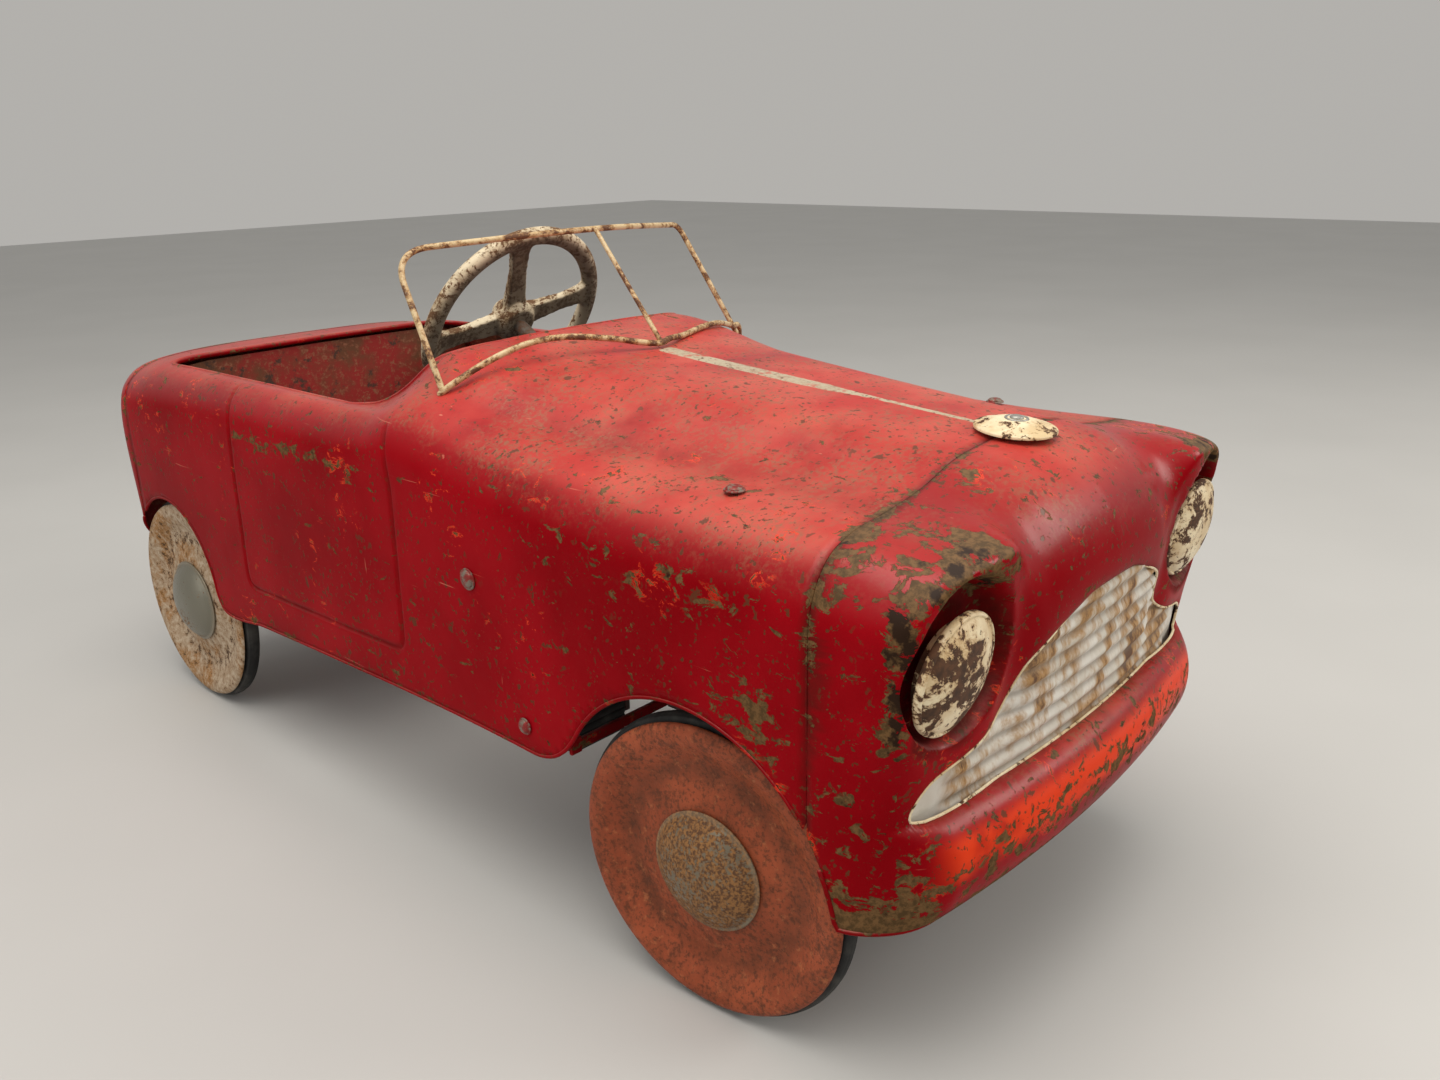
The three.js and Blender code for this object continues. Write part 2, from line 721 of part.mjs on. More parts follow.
function axleHanger(side) {
  const inner = railX + railThickness / 2 + gap;
  const outline = [[-22, 160], [-10, 88], [10, 88], [22, 160]].map(([y, z]) => [
    at(wheelbase) + y,
    z,
  ]);
  const [x0, x1] = side > 0 ? [inner, inner + 5] : [-inner - 5, -inner];
  return cut(
    plateYZ(outline, x0, x1),
    rod(axleRadius + 2 * gap, 60, [1, 0, 0], [side * inner, at(wheelbase), axleZ], 16),
  );
}

// ---------- pedal drive ----------
// Rear axle about its own line: the right crank points up and the left one down.
function rearAxle() {
  const end = wheelPlaneX + 9;
  const crank = (side, throwZ) => {
    const [inner, outer] = [crankX - 14, crankX + 14];
    const points = [[outer, 0], [outer, throwZ], [inner, throwZ], [inner, 0]];
    return points.map(([x, z]) => [side * x, 0, z, 9]);
  };
  return bar(
    bentLine(
      [
        [-end, 0, 0],
        ...crank(-1, crankThrow),
        ...crank(1, -crankThrow).reverse(),
        [end, 0, 0],
      ],
      3,
    ),
    axleRadius,
    8,
  );
}

// Connecting rod from its crank pin (local origin) forward to the lever.
function connectingRod(side, pinZ) {
  const reach = new THREE.Vector2(pedalPivotStation - wheelbase, rodPinZ - pinZ);
  const length = reach.length();
  const [x0, x1] = [crankX - 2, crankX + 2].map((x) => side * x).sort((a, b) => a - b);
  const flat = box(x0, x1, -length, 0, -6, 6);
  const rearEye = rod(12, 4, [1, 0, 0], [side * crankX, 0, 0], 18);
  const frontEye = rod(9, 4, [1, 0, 0], [side * crankX, -length, 0], 14);
  const bolt = rod(4, 3.4, [1, 0, 0], [side * (crankX + 1.7), -length, 0], 10);
  const hole = rod(axleRadius + 2 * gap, 30, [1, 0, 0], [side * crankX, 0, 0], 18);
  const tilt = Math.atan2(-reach.y, -reach.x);
  return cut(join(flat, rearEye, frontEye, bolt), hole).rotateX(tilt);
}

function pedalLever(side) {
  const [x0, x1] = [leverX - 2.5, leverX + 2.5].map((x) => side * x).sort((a, b) => a - b);
  const y = at(pedalPivotStation);
  const blade = plateYZ(
    [[y - 10, pedalPivotZ + 12], [y - 8, 96], [y + 8, 96], [y + 10, pedalPivotZ + 12]],
    x0,
    x1,
  );
  const boss = rod(12, 9, [1, 0, 0], [side * leverX, y, pedalPivotZ], 16);
  const pedalPin = rod(5, 66, [1, 0, 0], [side * (leverX + 33), y, 104], 12);
  const hole = rod(4.6, 40, [1, 0, 0], [side * leverX, y, pedalPivotZ], 16);
  return cut(join(blade, boss, pedalPin), hole);
}

function pedalPad(side) {
  const y = at(pedalPivotStation);
  const [x0, x1] = [leverX + 8, leverX + 60].map((x) => side * x).sort((a, b) => a - b);
  const block = plateYZ(
    [
      [y - 11, 82], [y + 11, 82], [y + 14, 90], [y + 14, 118],
      [y + 11, 126], [y - 11, 126], [y - 14, 118], [y - 14, 90],
    ],
    x0,
    x1,
  );
  return cut(block, rod(5 + gap, 90, [1, 0, 0], [side * (leverX + 33), y, 104], 12));
}

function pedalPivotRod() {
  const head = (side) =>
    turned([[0, 0], [8, 0], [6.4, 2.2], [0, 3]], 12)
      .rotateZ(side > 0 ? 0 : Math.PI)
      .translate(side * (fullWidth + gap), 0, 0);
  const reach = 2 * (fullWidth - sheet - 1.2);
  return { shaft: rod(4, reach, [1, 0, 0], [0, 0, 0], 12), head };
}

// ---------- wheels ----------
// About the axle, local +X outwards and x = 0 at the middle of the tyre.
const facetRadius = (r) => r / Math.cos(Math.PI / wheelFacets);
const bore = axleRadius + 2 * gap;

function wheelDisc() {
  const outer = [[bore, 8], [30, 8], [46, 3.5], [66, 3], [86, 10], [discRadius, 9.2]];
  const inner = outer.slice().reverse().map(([r, h], i) => [r, i === 0 ? 7.4 : h - 1.6]);
  return turned([...inner, ...outer], wheelFacets);
}

function wheelBack() {
  return turned(
    [[bore, -11], [bore, 4], [11, 4], [11, -7.4], [90, -7.4], [90, -9], [14, -9], [14, -11]],
    wheelFacets,
  );
}

function tyre() {
  const half = tyreWidth / 2;
  const tread = facetRadius(wheelRadius);
  const wall = facetRadius(95);
  return turned(
    [
      [84, -half], [84, half], [wall, half],
      [tread, half * 0.45], [tread, -half * 0.45], [wall, -half],
    ],
    wheelFacets,
  );
}

function hubcap() {
  const dome = (r) => 8.4 + hubcapHeight * Math.sqrt(Math.max(0, 1 - (r / hubcapRadius) ** 2));
  const radii = [38.5, 32, 20, 0];
  const outer = radii.map((r) => [r, dome(r)]);
  const inner = radii.map((r) => [r * 0.955, 8.4 + (dome(r) - 8.4) * 0.9]).reverse();
  return turned([...inner, ...outer], 18);
}

// ---------- assembly ----------
const car = new THREE.Group();

function add(name, geometry, material, parent = car) {
  const mesh = new THREE.Mesh(geometry, material);
  mesh.name = name;
  parent.add(mesh);
  return mesh;
}

const sides = [
  ["left", 1],
  ["right", -1],
];

function addWheel(name, side, parent, x, material) {
  const wheel = new THREE.Group();
  wheel.position.x = side * x;
  if (side < 0) wheel.rotation.z = Math.PI;
  parent.add(wheel);
  add(`${name}_disc`, wheelDisc(), material, wheel);
  add(`${name}_back_plate`, wheelBack(), material, wheel);
  add(`${name}_tyre`, tyre(), rubber, wheel);
  add(`${name}_hubcap`, hubcap(), plating, wheel);
}

add("body_shell", bodyShell(), redPaint);
add("nose_panel", nosePanel(), redPaint);
add("tail_panel", tailPanel(), redPaint);
add("grille", grille(), silverPaint);
add("seat_pan", seatPan(), redPaint);
add("rear_bulkhead", rearBulkhead(), redPaint);
add("dash_panel", dashPanel(), redPaint);
add("steering_column_bush", columnBush(), bareSteel);

for (const [name, side] of sides) {
  const lamp = add(`headlamp_${name}`, headlamp(), creamPaint);
  lamp.rotation.set(lampTilt, 0, -Math.PI / 2, "XYZ");
  lamp.position.set(side * lampX, at(lampStation + 9.5), lampZ);
  const wingBolt = add(`wing_bolt_${name}`, domedBolt(7, 3.2), redPaint);
  wingBolt.rotation.y = -Math.PI / 2;
  wingBolt.position.set(side * 146, at(4), 330.3);
  const sillBolt = add(`sill_bolt_${name}`, domedBolt(6.5, 3), redPaint);
  sillBolt.rotation.z = side > 0 ? 0 : Math.PI;
  sillBolt.position.set(side * (fullWidth + gap), at(150), 150);
}

const badgeMesh = add("bonnet_badge", badge(), creamPaint);
badgeMesh.rotation.set(0, -Math.PI / 2, 0);
const badgeTilt = new THREE.Group();
badgeTilt.add(badgeMesh);
badgeTilt.rotation.x = THREE.MathUtils.degToRad(4);
badgeTilt.position.set(0, at(-91), 352.2);
car.add(badgeTilt);

add("windscreen_hoop", screenHoop(), creamPaint);
add("windscreen_base_rail", screenBaseRail(), creamPaint);
add("windscreen_centre_post", screenPost(), creamPaint);

const steering = new THREE.Group();
steering.position.set(0, at(steeringWheelStation), steeringWheelZ);
steering.rotation.x = columnTilt;
car.add(steering);
const turning = new THREE.Group();
turning.rotation.y = columnTurnAtRest;
steering.add(turning);
add("steering_column", steeringColumn(), bareSteel, turning);
add("steering_wheel", steeringWheel(), creamPaint, turning);

const track = new THREE.Group();
track.position.x = -steeringArm * Math.sin(wheelSteerAtRest);
car.add(track);
add("track_rod", trackRod(), chassisPaint, track);

for (const [name, side] of sides) {
  const steered = new THREE.Group();
  steered.position.set(side * kingpinX, frontAxleY, axleZ);
  steered.rotation.z = wheelSteerAtRest;
  car.add(steered);
  add(`knuckle_${name}`, knuckle(side), chassisPaint, steered);
  add(`kingpin_${name}`, kingpin(), bareSteel, steered);
  addWheel(`front_wheel_${name}`, side, steered, wheelPlaneX - kingpinX, oxideRed);
  add(`chassis_rail_${name}`, chassisRail(side), chassisPaint);
  add(`rear_axle_hanger_${name}`, axleHanger(side), chassisPaint);
  add(`pedal_lever_${name}`, pedalLever(side), chassisPaint);
  add(`pedal_pad_${name}`, pedalPad(side), rubber);
  const pinZ = side > 0 ? -crankThrow : crankThrow;
  const link = add(`connecting_rod_${name}`, connectingRod(side, axleZ + pinZ), bareSteel);
  link.position.set(0, at(wheelbase), axleZ + pinZ);
}

add("front_axle_beam", frontAxleBeam(), chassisPaint);
add("steering_crossmember", steeringCrossmember(), chassisPaint);
add("front_crossmember", crossmember(-112, 26, 140, 18), chassisPaint);
add("middle_crossmember", sillStrap(), chassisPaint);
add("rear_crossmember", crossmember(732, 10, 150, 16), chassisPaint);

const rearLine = new THREE.Group();
rearLine.position.set(0, at(wheelbase), axleZ);
car.add(rearLine);
add("rear_axle", rearAxle(), bareSteel, rearLine);
for (const [name, side] of sides)
  addWheel(`rear_wheel_${name}`, side, rearLine, wheelPlaneX, rustyCream);

const pivot = pedalPivotRod();
add("pedal_pivot_rod", pivot.shaft, bareSteel).position.set(
  0,
  at(pedalPivotStation),
  pedalPivotZ,
);
for (const [name, side] of sides)
  add(`pivot_rod_head_${name}`, pivot.head(side), redPaint).position.set(
    0,
    at(pedalPivotStation),
    pedalPivotZ,
  );

export default car;
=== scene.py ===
import json
import math

import bmesh
import bpy
import numpy as np
from mathutils import Matrix, Vector


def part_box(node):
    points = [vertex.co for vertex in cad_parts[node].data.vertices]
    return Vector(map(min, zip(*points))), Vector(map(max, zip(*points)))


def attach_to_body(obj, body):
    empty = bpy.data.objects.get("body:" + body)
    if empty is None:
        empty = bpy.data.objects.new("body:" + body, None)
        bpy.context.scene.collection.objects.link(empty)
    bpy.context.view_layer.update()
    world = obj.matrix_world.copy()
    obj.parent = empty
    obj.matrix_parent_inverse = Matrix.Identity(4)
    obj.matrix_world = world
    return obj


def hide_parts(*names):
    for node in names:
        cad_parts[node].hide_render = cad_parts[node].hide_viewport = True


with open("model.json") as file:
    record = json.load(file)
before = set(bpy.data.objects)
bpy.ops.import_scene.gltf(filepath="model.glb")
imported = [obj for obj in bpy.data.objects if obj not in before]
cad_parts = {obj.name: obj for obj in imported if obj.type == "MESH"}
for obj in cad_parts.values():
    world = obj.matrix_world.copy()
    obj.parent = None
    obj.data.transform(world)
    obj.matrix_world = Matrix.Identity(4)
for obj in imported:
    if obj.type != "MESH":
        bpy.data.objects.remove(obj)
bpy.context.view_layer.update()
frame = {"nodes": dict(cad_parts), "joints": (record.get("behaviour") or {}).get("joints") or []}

# ---------- sizes, in millimetres ----------
MM = 0.001
joints = {j["name"]: j for j in frame["joints"]}


def pivot(name):
    """Where a joint turns, in millimetres."""
    return np.array(joints[name]["pos_m"]) / MM


def node_box(name):
    """The lowest and highest corner of a CAD node, in millimetres."""
    low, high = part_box(name)
    return np.array(low) / MM, np.array(high) / MM


def node_centre(name):
    low, high = node_box(name)
    return (low + high) / 2


AXLE_Y = pivot("knuckle_left_steer")[1]
SHEET = 1.0
NOSE_SEAM = -88
TAIL_SEAM = 752
TAIL_END = 795
HALF_WIDTH = 195.5
TAIL_HALF_WIDTH = 189
LOWER_HALF_WIDTH = 150
NOSE_BOTTOM = 114
TAIL_BOTTOM = 150
LAMP = {"x": 150, "z": 264}
# A wheel arch is a circle: its centre's station and height, then its radius.
FRONT_ARCH = (4, 100, 113)
REAR_ARCH = (692, 119, 84)
SCREEN_ROD = 2.3


# ---------- curves ----------
def step(low, high, value):
    """0 at low and 1 at high, smooth between; low may be the larger."""
    t = np.clip((value - low) / (high - low), 0, 1)
    return t * t * (3 - 2 * t)


def bump(value, centre, width):
    return np.exp(-(((value - centre) / width) ** 2))


def hermite(knots, values, t):
    """A smooth curve through values (K, D) at knots (K), read at t. Knots and values may have
    one set for each t, as (N, K) and (N, K, D)."""
    knots = np.asarray(knots, float)
    values = np.asarray(values, float)
    rise = np.diff(values, axis=-2)
    run = np.diff(knots, axis=-1)[..., None]
    over_two = (knots[..., 2:] - knots[..., :-2])[..., None]
    slope = np.empty_like(values)
    slope[..., 1:-1, :] = (values[..., 2:, :] - values[..., :-2, :]) / over_two
    slope[..., 0, :] = rise[..., 0, :] / run[..., 0, :]
    slope[..., -1, :] = rise[..., -1, :] / run[..., -1, :]
    i = (t[:, None] > knots[..., 1:-1]).sum(-1)
    at = (lambda a, k: a[k]) if knots.ndim == 1 else (lambda a, k: a[np.arange(len(t)), k])
    start = at(knots, i)
    span = at(knots, i + 1) - start
    k = np.clip((t - start) / span, 0, 1)[:, None]
    span = span[:, None]
    return (
        at(values, i) * (2 * k**3 - 3 * k**2 + 1)
        + at(slope, i) * span * (k**3 - 2 * k**2 + k)
        + at(values, i + 1) * (3 * k**2 - 2 * k**3)
        + at(slope, i + 1) * span * (k**3 - k**2)
    )


def along(points, count):
    """A smooth curve through points, as count points evenly spaced."""
    points = np.asarray(points, float)
    knots = np.concatenate([[0], np.cumsum(np.linalg.norm(np.diff(points, axis=0), axis=1))])
    return hermite(knots, points, np.linspace(0, knots[-1], count))


def unit(v):
    return v / np.linalg.norm(v)


def rounded(points, per_bend):
    """A line through corners [x, y, z, bend radius] with each corner rounded."""
    out = []
    for i, (*corner, radius) in enumerate(points):
        p = np.array(corner, float)
        if not radius:
            out.append(p)
            continue
        before = np.array(points[i - 1][:3], float) - p
        after = np.array(points[i + 1][:3], float) - p
        lengths = np.linalg.norm(before), np.linalg.norm(after)
        before, after = before / lengths[0], after / lengths[1]
        half = math.acos(np.clip(before @ after, -1, 1)) / 2
        reach = min(radius / math.tan(half), 0.49 * min(lengths))
        for t in np.linspace(0, 1, per_bend):
            a, b = p + before * reach, p + after * reach
            out.append((1 - t) ** 2 * a + 2 * t * (1 - t) * p + t**2 * b)
    return np.array(out)


# ---------- meshes ----------
def make(name, vertices, faces, material, body, slot, replaces=(), smooth_angle=40):
    """A mesh object from millimetre vertices, riding on a CAD body."""
    name = name.replace(" ", "_")
    mesh = bpy.data.meshes.new(name)
    mesh.from_pydata((np.asarray(vertices, float) * MM).tolist(), [], [list(f) for f in faces])
    mesh.materials.append(material)
    obj = bpy.data.objects.new(name, mesh)
    bpy.context.scene.collection.objects.link(obj)
    shade(obj, smooth_angle)
    return attach(obj, body, replaces)


def shade(obj, smooth_angle):
    obj.data.polygons.foreach_set("use_smooth", [True] * len(obj.data.polygons))
    obj.data.set_sharp_from_angle(angle=math.radians(smooth_angle))


def attach(obj, body, replaces=()):
    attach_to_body(obj, body)
    if replaces:
        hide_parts(*replaces)
    return obj


def solidify(obj, thickness):
    """Thickens a sheet inwards."""
    m = obj.modifiers.new("sheet", "SOLIDIFY")
    m.thickness = thickness * MM
    m.offset = -1
    m.use_even_offset = True
    return m


def bevel(obj, width):
    m = obj.modifiers.new("soft edges", "BEVEL")
    m.width = width * MM
    m.segments = 2
    m.limit_method = "ANGLE"
    m.angle_limit = math.radians(35)
    m.harden_normals = True
    return m


def grid_faces(rows, columns, loop_rows=False, loop_columns=True):
    """Quads between the points of a grid, which can close on itself either way."""
    faces = []
    for i in range(rows if loop_rows else rows - 1):
        a, b = i * columns, (i + 1) % rows * columns
        for k in range(columns if loop_columns else columns - 1):
            m = (k + 1) % columns
            faces.append((a + k, a + m, b + m, b + k))
    return faces


def tube(points, radius, closed=False, sides=14):
    """Vertices and faces of a round bar along points, with domed ends where it is open."""
    points = np.asarray(points, float)
    radii = np.full(len(points), float(radius))
    if not closed:
        first, last = unit(points[0] - points[1]), unit(points[-1] - points[-2])
        reach, width = np.array([[0.9], [0.6]]), np.array([0.45, 0.8])
        head = points[0] + first * radius * reach
        tail = points[-1] + last * radius * reach[::-1]
        points = np.vstack([head, points, tail])
        radii = np.concatenate([radius * width, radii, radius * width[::-1]])
    before, after = np.roll(points, 1, 0), np.roll(points, -1, 0)
    if not closed:
        before[0], after[-1] = points[0], points[-1]
    tangents = after - before
    tangents /= np.linalg.norm(tangents, axis=1)[:, None]
    across = np.cross(tangents[0], [0, 0, 1] if abs(tangents[0][2]) < 0.9 else [0, 1, 0])
    vertices = []
    angles = np.linspace(0, 2 * math.pi, sides, endpoint=False)
    for p, t, r in zip(points, tangents, radii):
        across = unit(across - t * (across @ t))
        side = np.cross(t, across)
        vertices.extend(p + r * (math.cos(a) * across + math.sin(a) * side) for a in angles)
    rings = len(points)
    faces = grid_faces(rings, sides, closed)
    if not closed:
        faces.append(tuple(range(sides))[::-1])
        faces.append(tuple((rings - 1) * sides + k for k in range(sides)))
    return np.array(vertices), faces


def lathe(profile, segments, closed=False):
    """Surface of revolution about +X from [radius, x] points."""
    vertices = [
        (h, r * math.sin(a), r * math.cos(a))
        for a in np.linspace(0, 2 * math.pi, segments, endpoint=False)
        for r, h in profile
    ]
    quads = grid_faces(segments, len(profile), True, closed)
    return np.array(vertices), [(a, d, c, b) for a, b, c, d in quads]


def aimed(place, axis, up="Y"):
    """A matrix that takes a lathed piece to place, with its +X along axis."""
    return Matrix.Translation(Vector(place)) @ Vector(axis).to_track_quat("X", up).to_matrix().to_4x4()


def moved(vertices, matrix):
    """Vertices turned and moved by a matrix."""
    return vertices @ np.array(matrix.to_3x3()).T + np.array(matrix.translation)


def together(*parts):
    """Several (vertices, faces) as one."""
    vertices, faces, base = [], [], 0
    for v, f in parts:
        vertices.append(np.asarray(v, float))
        faces.extend(tuple(i + base for i in face) for face in f)
        base += len(v)
    return np.vstack(vertices), faces


def weld(obj):
    """Merges points that meet, such as a lathe's points on its axis."""
    bm = bmesh.new()
    bm.from_mesh(obj.data)
    bmesh.ops.remove_doubles(bm, verts=bm.verts, dist=0.02 * MM)
    bmesh.ops.recalc_face_normals(bm, faces=bm.faces)
    bm.to_mesh(obj.data)
    bm.free()
    return obj


def face_out(obj, centre):
    """Turns an open sheet's faces away from a point given in millimetres."""
    c = Vector(centre) * MM
    total = sum((p.center - c).dot(p.normal) * p.area for p in obj.data.polygons)
    if total < 0:
        obj.data.flip_normals()
    return obj


def attribute(obj, name, values):
    a = obj.data.attributes.new(name, "FLOAT", "POINT")
    a.data.foreach_set("value", np.asarray(values, np.float32))


def cut_grid(us, vs, place, holes):
    """A grid over the surface place(u, v), without its holes.

    A hole is positive inside itself. The grid's points nearest to its edge are moved on to the
    edge. Gives the points, the faces, and the (u, v) of the points.
    """
    u, v = (a.astype(float) for a in np.meshgrid(us, vs, indexing="ij"))
    rows, columns = u.shape
    outside = np.ones((rows, columns), bool)
    on_edge = np.zeros((rows, columns), bool)
    for hole in holes:
        f = hole(place(u.ravel(), v.ravel())).reshape(rows, columns)
        best = np.full((rows, columns), 1.0)
        target = np.stack([u, v], -1)
        for di, dj in ((1, 0), (0, 1)):
            a = (slice(0, rows - di), slice(0, columns - dj))
            b = (slice(di, rows), slice(dj, columns))
            crossing = np.argwhere((f[a] > 0) != (f[b] > 0))
            if not len(crossing):
                continue
            ia = tuple(crossing.T)
            ib = (ia[0] + di, ia[1] + dj)
            pa = np.stack([u[ia], v[ia]], -1)
            pb = np.stack([u[ib], v[ib]], -1)
            low, high = np.zeros(len(pa)), np.ones(len(pa))
            positive = f[ia] > 0
            for _ in range(14):
                middle = (low + high) / 2
                q = pa + (pb - pa) * middle[:, None]
                same = (hole(place(q[:, 0], q[:, 1])) > 0) == positive
                low = np.where(same, middle, low)
                high = np.where(same, high, middle)
            q = pa + (pb - pa) * low[:, None]
            for index, cost in ((ia, low), (ib, 1 - low)):
                for n in np.flatnonzero(cost <= 0.5):
                    key = (index[0][n], index[1][n])
                    if cost[n] < best[key]:
                        best[key] = cost[n]
                        target[key] = q[n]
        snapped = best < 1
        u, v = target[..., 0], target[..., 1]
        outside &= snapped | (f <= 0)
        on_edge = (on_edge | snapped) & outside
    points = place(u.ravel(), v.ravel())
    keep = outside.ravel()
    inner = (outside & ~on_edge).ravel()
    faces = []
    for quad in grid_faces(rows, columns, loop_columns=False):
        left = tuple(k for k in quad if keep[k])
        if len(left) > 2 and (any(inner[k] for k in left) or len(left) == 4):
            faces.append(left)
    used = sorted({k for face in faces for k in face})
    index = {k: n for n, k in enumerate(used)}
    faces = [tuple(index[k] for k in face) for face in faces]
    return points[used], faces, (u.ravel()[used], v.ravel()[used])


def normals_of(place, u, v, inside, du=0.5, dv=0.001):
    """A surface's normals, away from a point inside it."""
    n = np.cross(place(u + du, v) - place(u - du, v), place(u, v + dv) - place(u, v - dv))
    n /= np.maximum(np.linalg.norm(n, axis=1), 1e-9)[:, None]
    sign = np.sign((n * (place(u, v) - np.array(inside))).sum(1))
    return n * sign[:, None]


def polygon_distance(points, corners):
    """Signed distance of 2-D points from a polygon, positive inside."""
    corners = np.asarray(corners, float)
    nearest = np.full(len(points), 1e9)
    inside = np.zeros(len(points), bool)
    for a, b in zip(corners, np.roll(corners, -1, 0)):
        d = b - a
        t = np.clip(((points - a) @ d) / (d @ d), 0, 1)
        nearest = np.minimum(nearest, np.linalg.norm(points - a - t[:, None] * d, axis=1))
        if a[1] != b[1]:
            x = a[0] + (points[:, 1] - a[1]) * d[0] / d[1]
            inside ^= ((a[1] > points[:, 1]) != (b[1] > points[:, 1])) & (points[:, 0] < x)
    return np.where(inside, nearest, -nearest)


def line_distance(points, line):
    """Distance of points from a line of closely spaced points."""
    out = np.full(len(points), 1e9)
    for a, b in zip(line[:-1], line[1:]):
        d = b - a
        t = np.clip(((points - a) @ d) / max(d @ d, 1e-9), 0, 1)
        out = np.minimum(out, np.linalg.norm(points - a - t[:, None] * d, axis=1))
    return out


def edge_loops(faces):
    """Loops of vertex numbers along the open edges of a mesh."""
    count = {}
    for face in faces:
        for a, b in zip(face, face[1:] + face[:1]):
            count.setdefault(frozenset((a, b)), []).append((a, b))
    after = {pairs[0][0]: pairs[0][1] for pairs in count.values() if len(pairs) == 1}
    loops = []
    while after:
        start, here = after.popitem()
        loop = [start]
        while here != start and here in after:
            loop.append(here)
            here = after.pop(here)
        loops.append(loop)
    return loops


# ---------- the body's surface ----------
# Half-sections over the bonnet, valley, wing crown and shoulder to the top of the flat side.
STATIONS = np.array([-88, 0, 100, 200, 270, 300, 335, 372, 540, 700, 752], float)
SECTIONS = np.array([
    [[0, 351], [60, 346.5], [95, 337], [130, 331.5], [158, 328.5], [178, 321], [190, 306], [195.5, 284]],
    [[0, 357], [62, 353], [96, 338], [126, 330], [152, 328], [176, 320], [190, 305], [195.5, 284]],
    [[0, 363], [68, 360], [106, 344], [134, 333], [158, 330], [178, 322], [190, 307], [195, 286]],
    [[0, 370], [76, 367], [118, 356], [147, 342], [168, 336], [184, 326], [192, 310], [195, 290]],
    [[0, 377], [82, 375], [126, 368], [152, 355], [172, 346], [187, 334], [194, 316], [195, 296]],
    [[0, 380], [82, 378], [124, 372], [150, 356], [171, 345], [187, 334], [194, 316], [195, 297]],
    [[0, 381], [76, 379], [116, 370], [144, 346], [162, 336], [178, 334], [191, 319], [195, 299]],
    [[0, 381], [70, 378], [110, 366], [140, 343], [161, 333], [176, 333], [190, 319], [195, 299]],
    [[0, 350], [70, 349], [110, 343], [140, 335], [161, 331], [175, 330], [188, 315], [192.5, 291]],
    [[0, 333], [70, 332.5], [110, 332], [140, 331], [161, 328], [174, 323], [185, 310], [190.5, 288]],
    [[0, 331], [70, 330.5], [110, 329], [140, 326], [160, 321.5], [173, 314.5], [184, 302], [189, 282]],
], float)
SILL = np.array([
    [-88, 116], [60, 122], [125, 131], [300, 130], [520, 119], [590, 112], [680, 136], [752, 150],
], float)


def shell_place(s, v):
    """Points of the body at station s; v runs from -1 at the right sill over the top to 1."""
    c = hermite(STATIONS, SECTIONS.reshape(len(STATIONS), -1), s).reshape(-1, 8, 2)
    low = hermite(SILL[:, 0], SILL[:, 1:], s)
    side = c[:, -1:, :1]
    middle = np.concatenate([side, (c[:, -1:, 1:] + low[:, None]) / 2], 2)
    bottom = np.concatenate([side, low[:, None]], 2)
    c = np.concatenate([c, middle, bottom], 1)
    lengths = np.linalg.norm(np.diff(c, axis=1), axis=2)
    knots = np.concatenate([np.zeros((len(s), 1)), np.cumsum(lengths, 1)], 1)
    p = hermite(knots, c, np.abs(v) * knots[:, -1])
    return np.stack([p[:, 0] * np.sign(v), AXLE_Y + s, p[:, 1]], 1)


def shell_v(s, z):
    """The positive v at which the body's side is at height z."""
    vs = np.linspace(0.25, 1, 400)
    heights = shell_place(np.full(400, float(s)), vs)[:, 2]
    return float(np.interp(-z, -heights, vs))


def edge_round(d, radius, power):
    """1 well inside an edge, falling to 0 at it; d is the distance in from the edge."""
    k = 1 - np.clip(d / radius, 0, 1)
    return np.maximum(0, 1 - k**power) ** (1 / power)


def seam_height(station, x):
    """Height of a seam section's top above each x."""
    line = shell_place(np.full(600, float(station)), np.linspace(0, 1, 600))
    last = int(np.argmax(line[:, 0])) + 1
    return np.interp(np.abs(x), np.maximum.accumulate(line[:last, 0]), line[:last, 2])


def face_station(x, z):
    """The front face: a bowed plane, the bumper roll and a bowl round each headlamp."""
    w = np.abs(x)
    plane = -152 + 14 * (w / 169) ** 2 - 0.11 * (z - 181)
    lift = 1 - ((z - 146) / 35) ** 2
    roll = 20 * np.sqrt(np.maximum(0, lift)) * step(0, 45, HALF_WIDTH + 1 - w)
    dz = (z - LAMP["z"] - 2) / np.where(z > LAMP["z"], 50, 42)
    away = np.hypot((w - LAMP["x"]) / np.where(w > LAMP["x"], 38, 44), dz)
    bowl = 20 * (1 - step(0.88, 1.05, away))
    valley = 5 * bump(w, 99, 15) * step(181, 230, z)
    return plane - roll + bowl + valley


def round_side(w, z):
    """How far forward the front face is near its sides; sharper above the grille's tips."""
    return edge_round(HALF_WIDTH - w, 36 - 21 * step(205, 240, z), 3)


def nose_station(x, z, top):
    """The nose from its seam to its face, rounded off at the sides and at its top."""
    w = np.abs(x)
    brow = step(72, 122, w)
    over_top = edge_round(top - z, 76 - 64 * brow, 2 + 0.4 * brow)
    return NOSE_SEAM + (face_station(x, z) - NOSE_SEAM) * over_top * round_side(w, z)


def tail_station(x, z, top):
    """The tail, in the same way."""
    face = TAIL_END - 20 * step(250, TAIL_BOTTOM, z)
    amount = edge_round(top - z, 42, 2) * edge_round(TAIL_HALF_WIDTH - np.abs(x), 34, 2.4)
    return TAIL_SEAM + (face - TAIL_SEAM) * amount


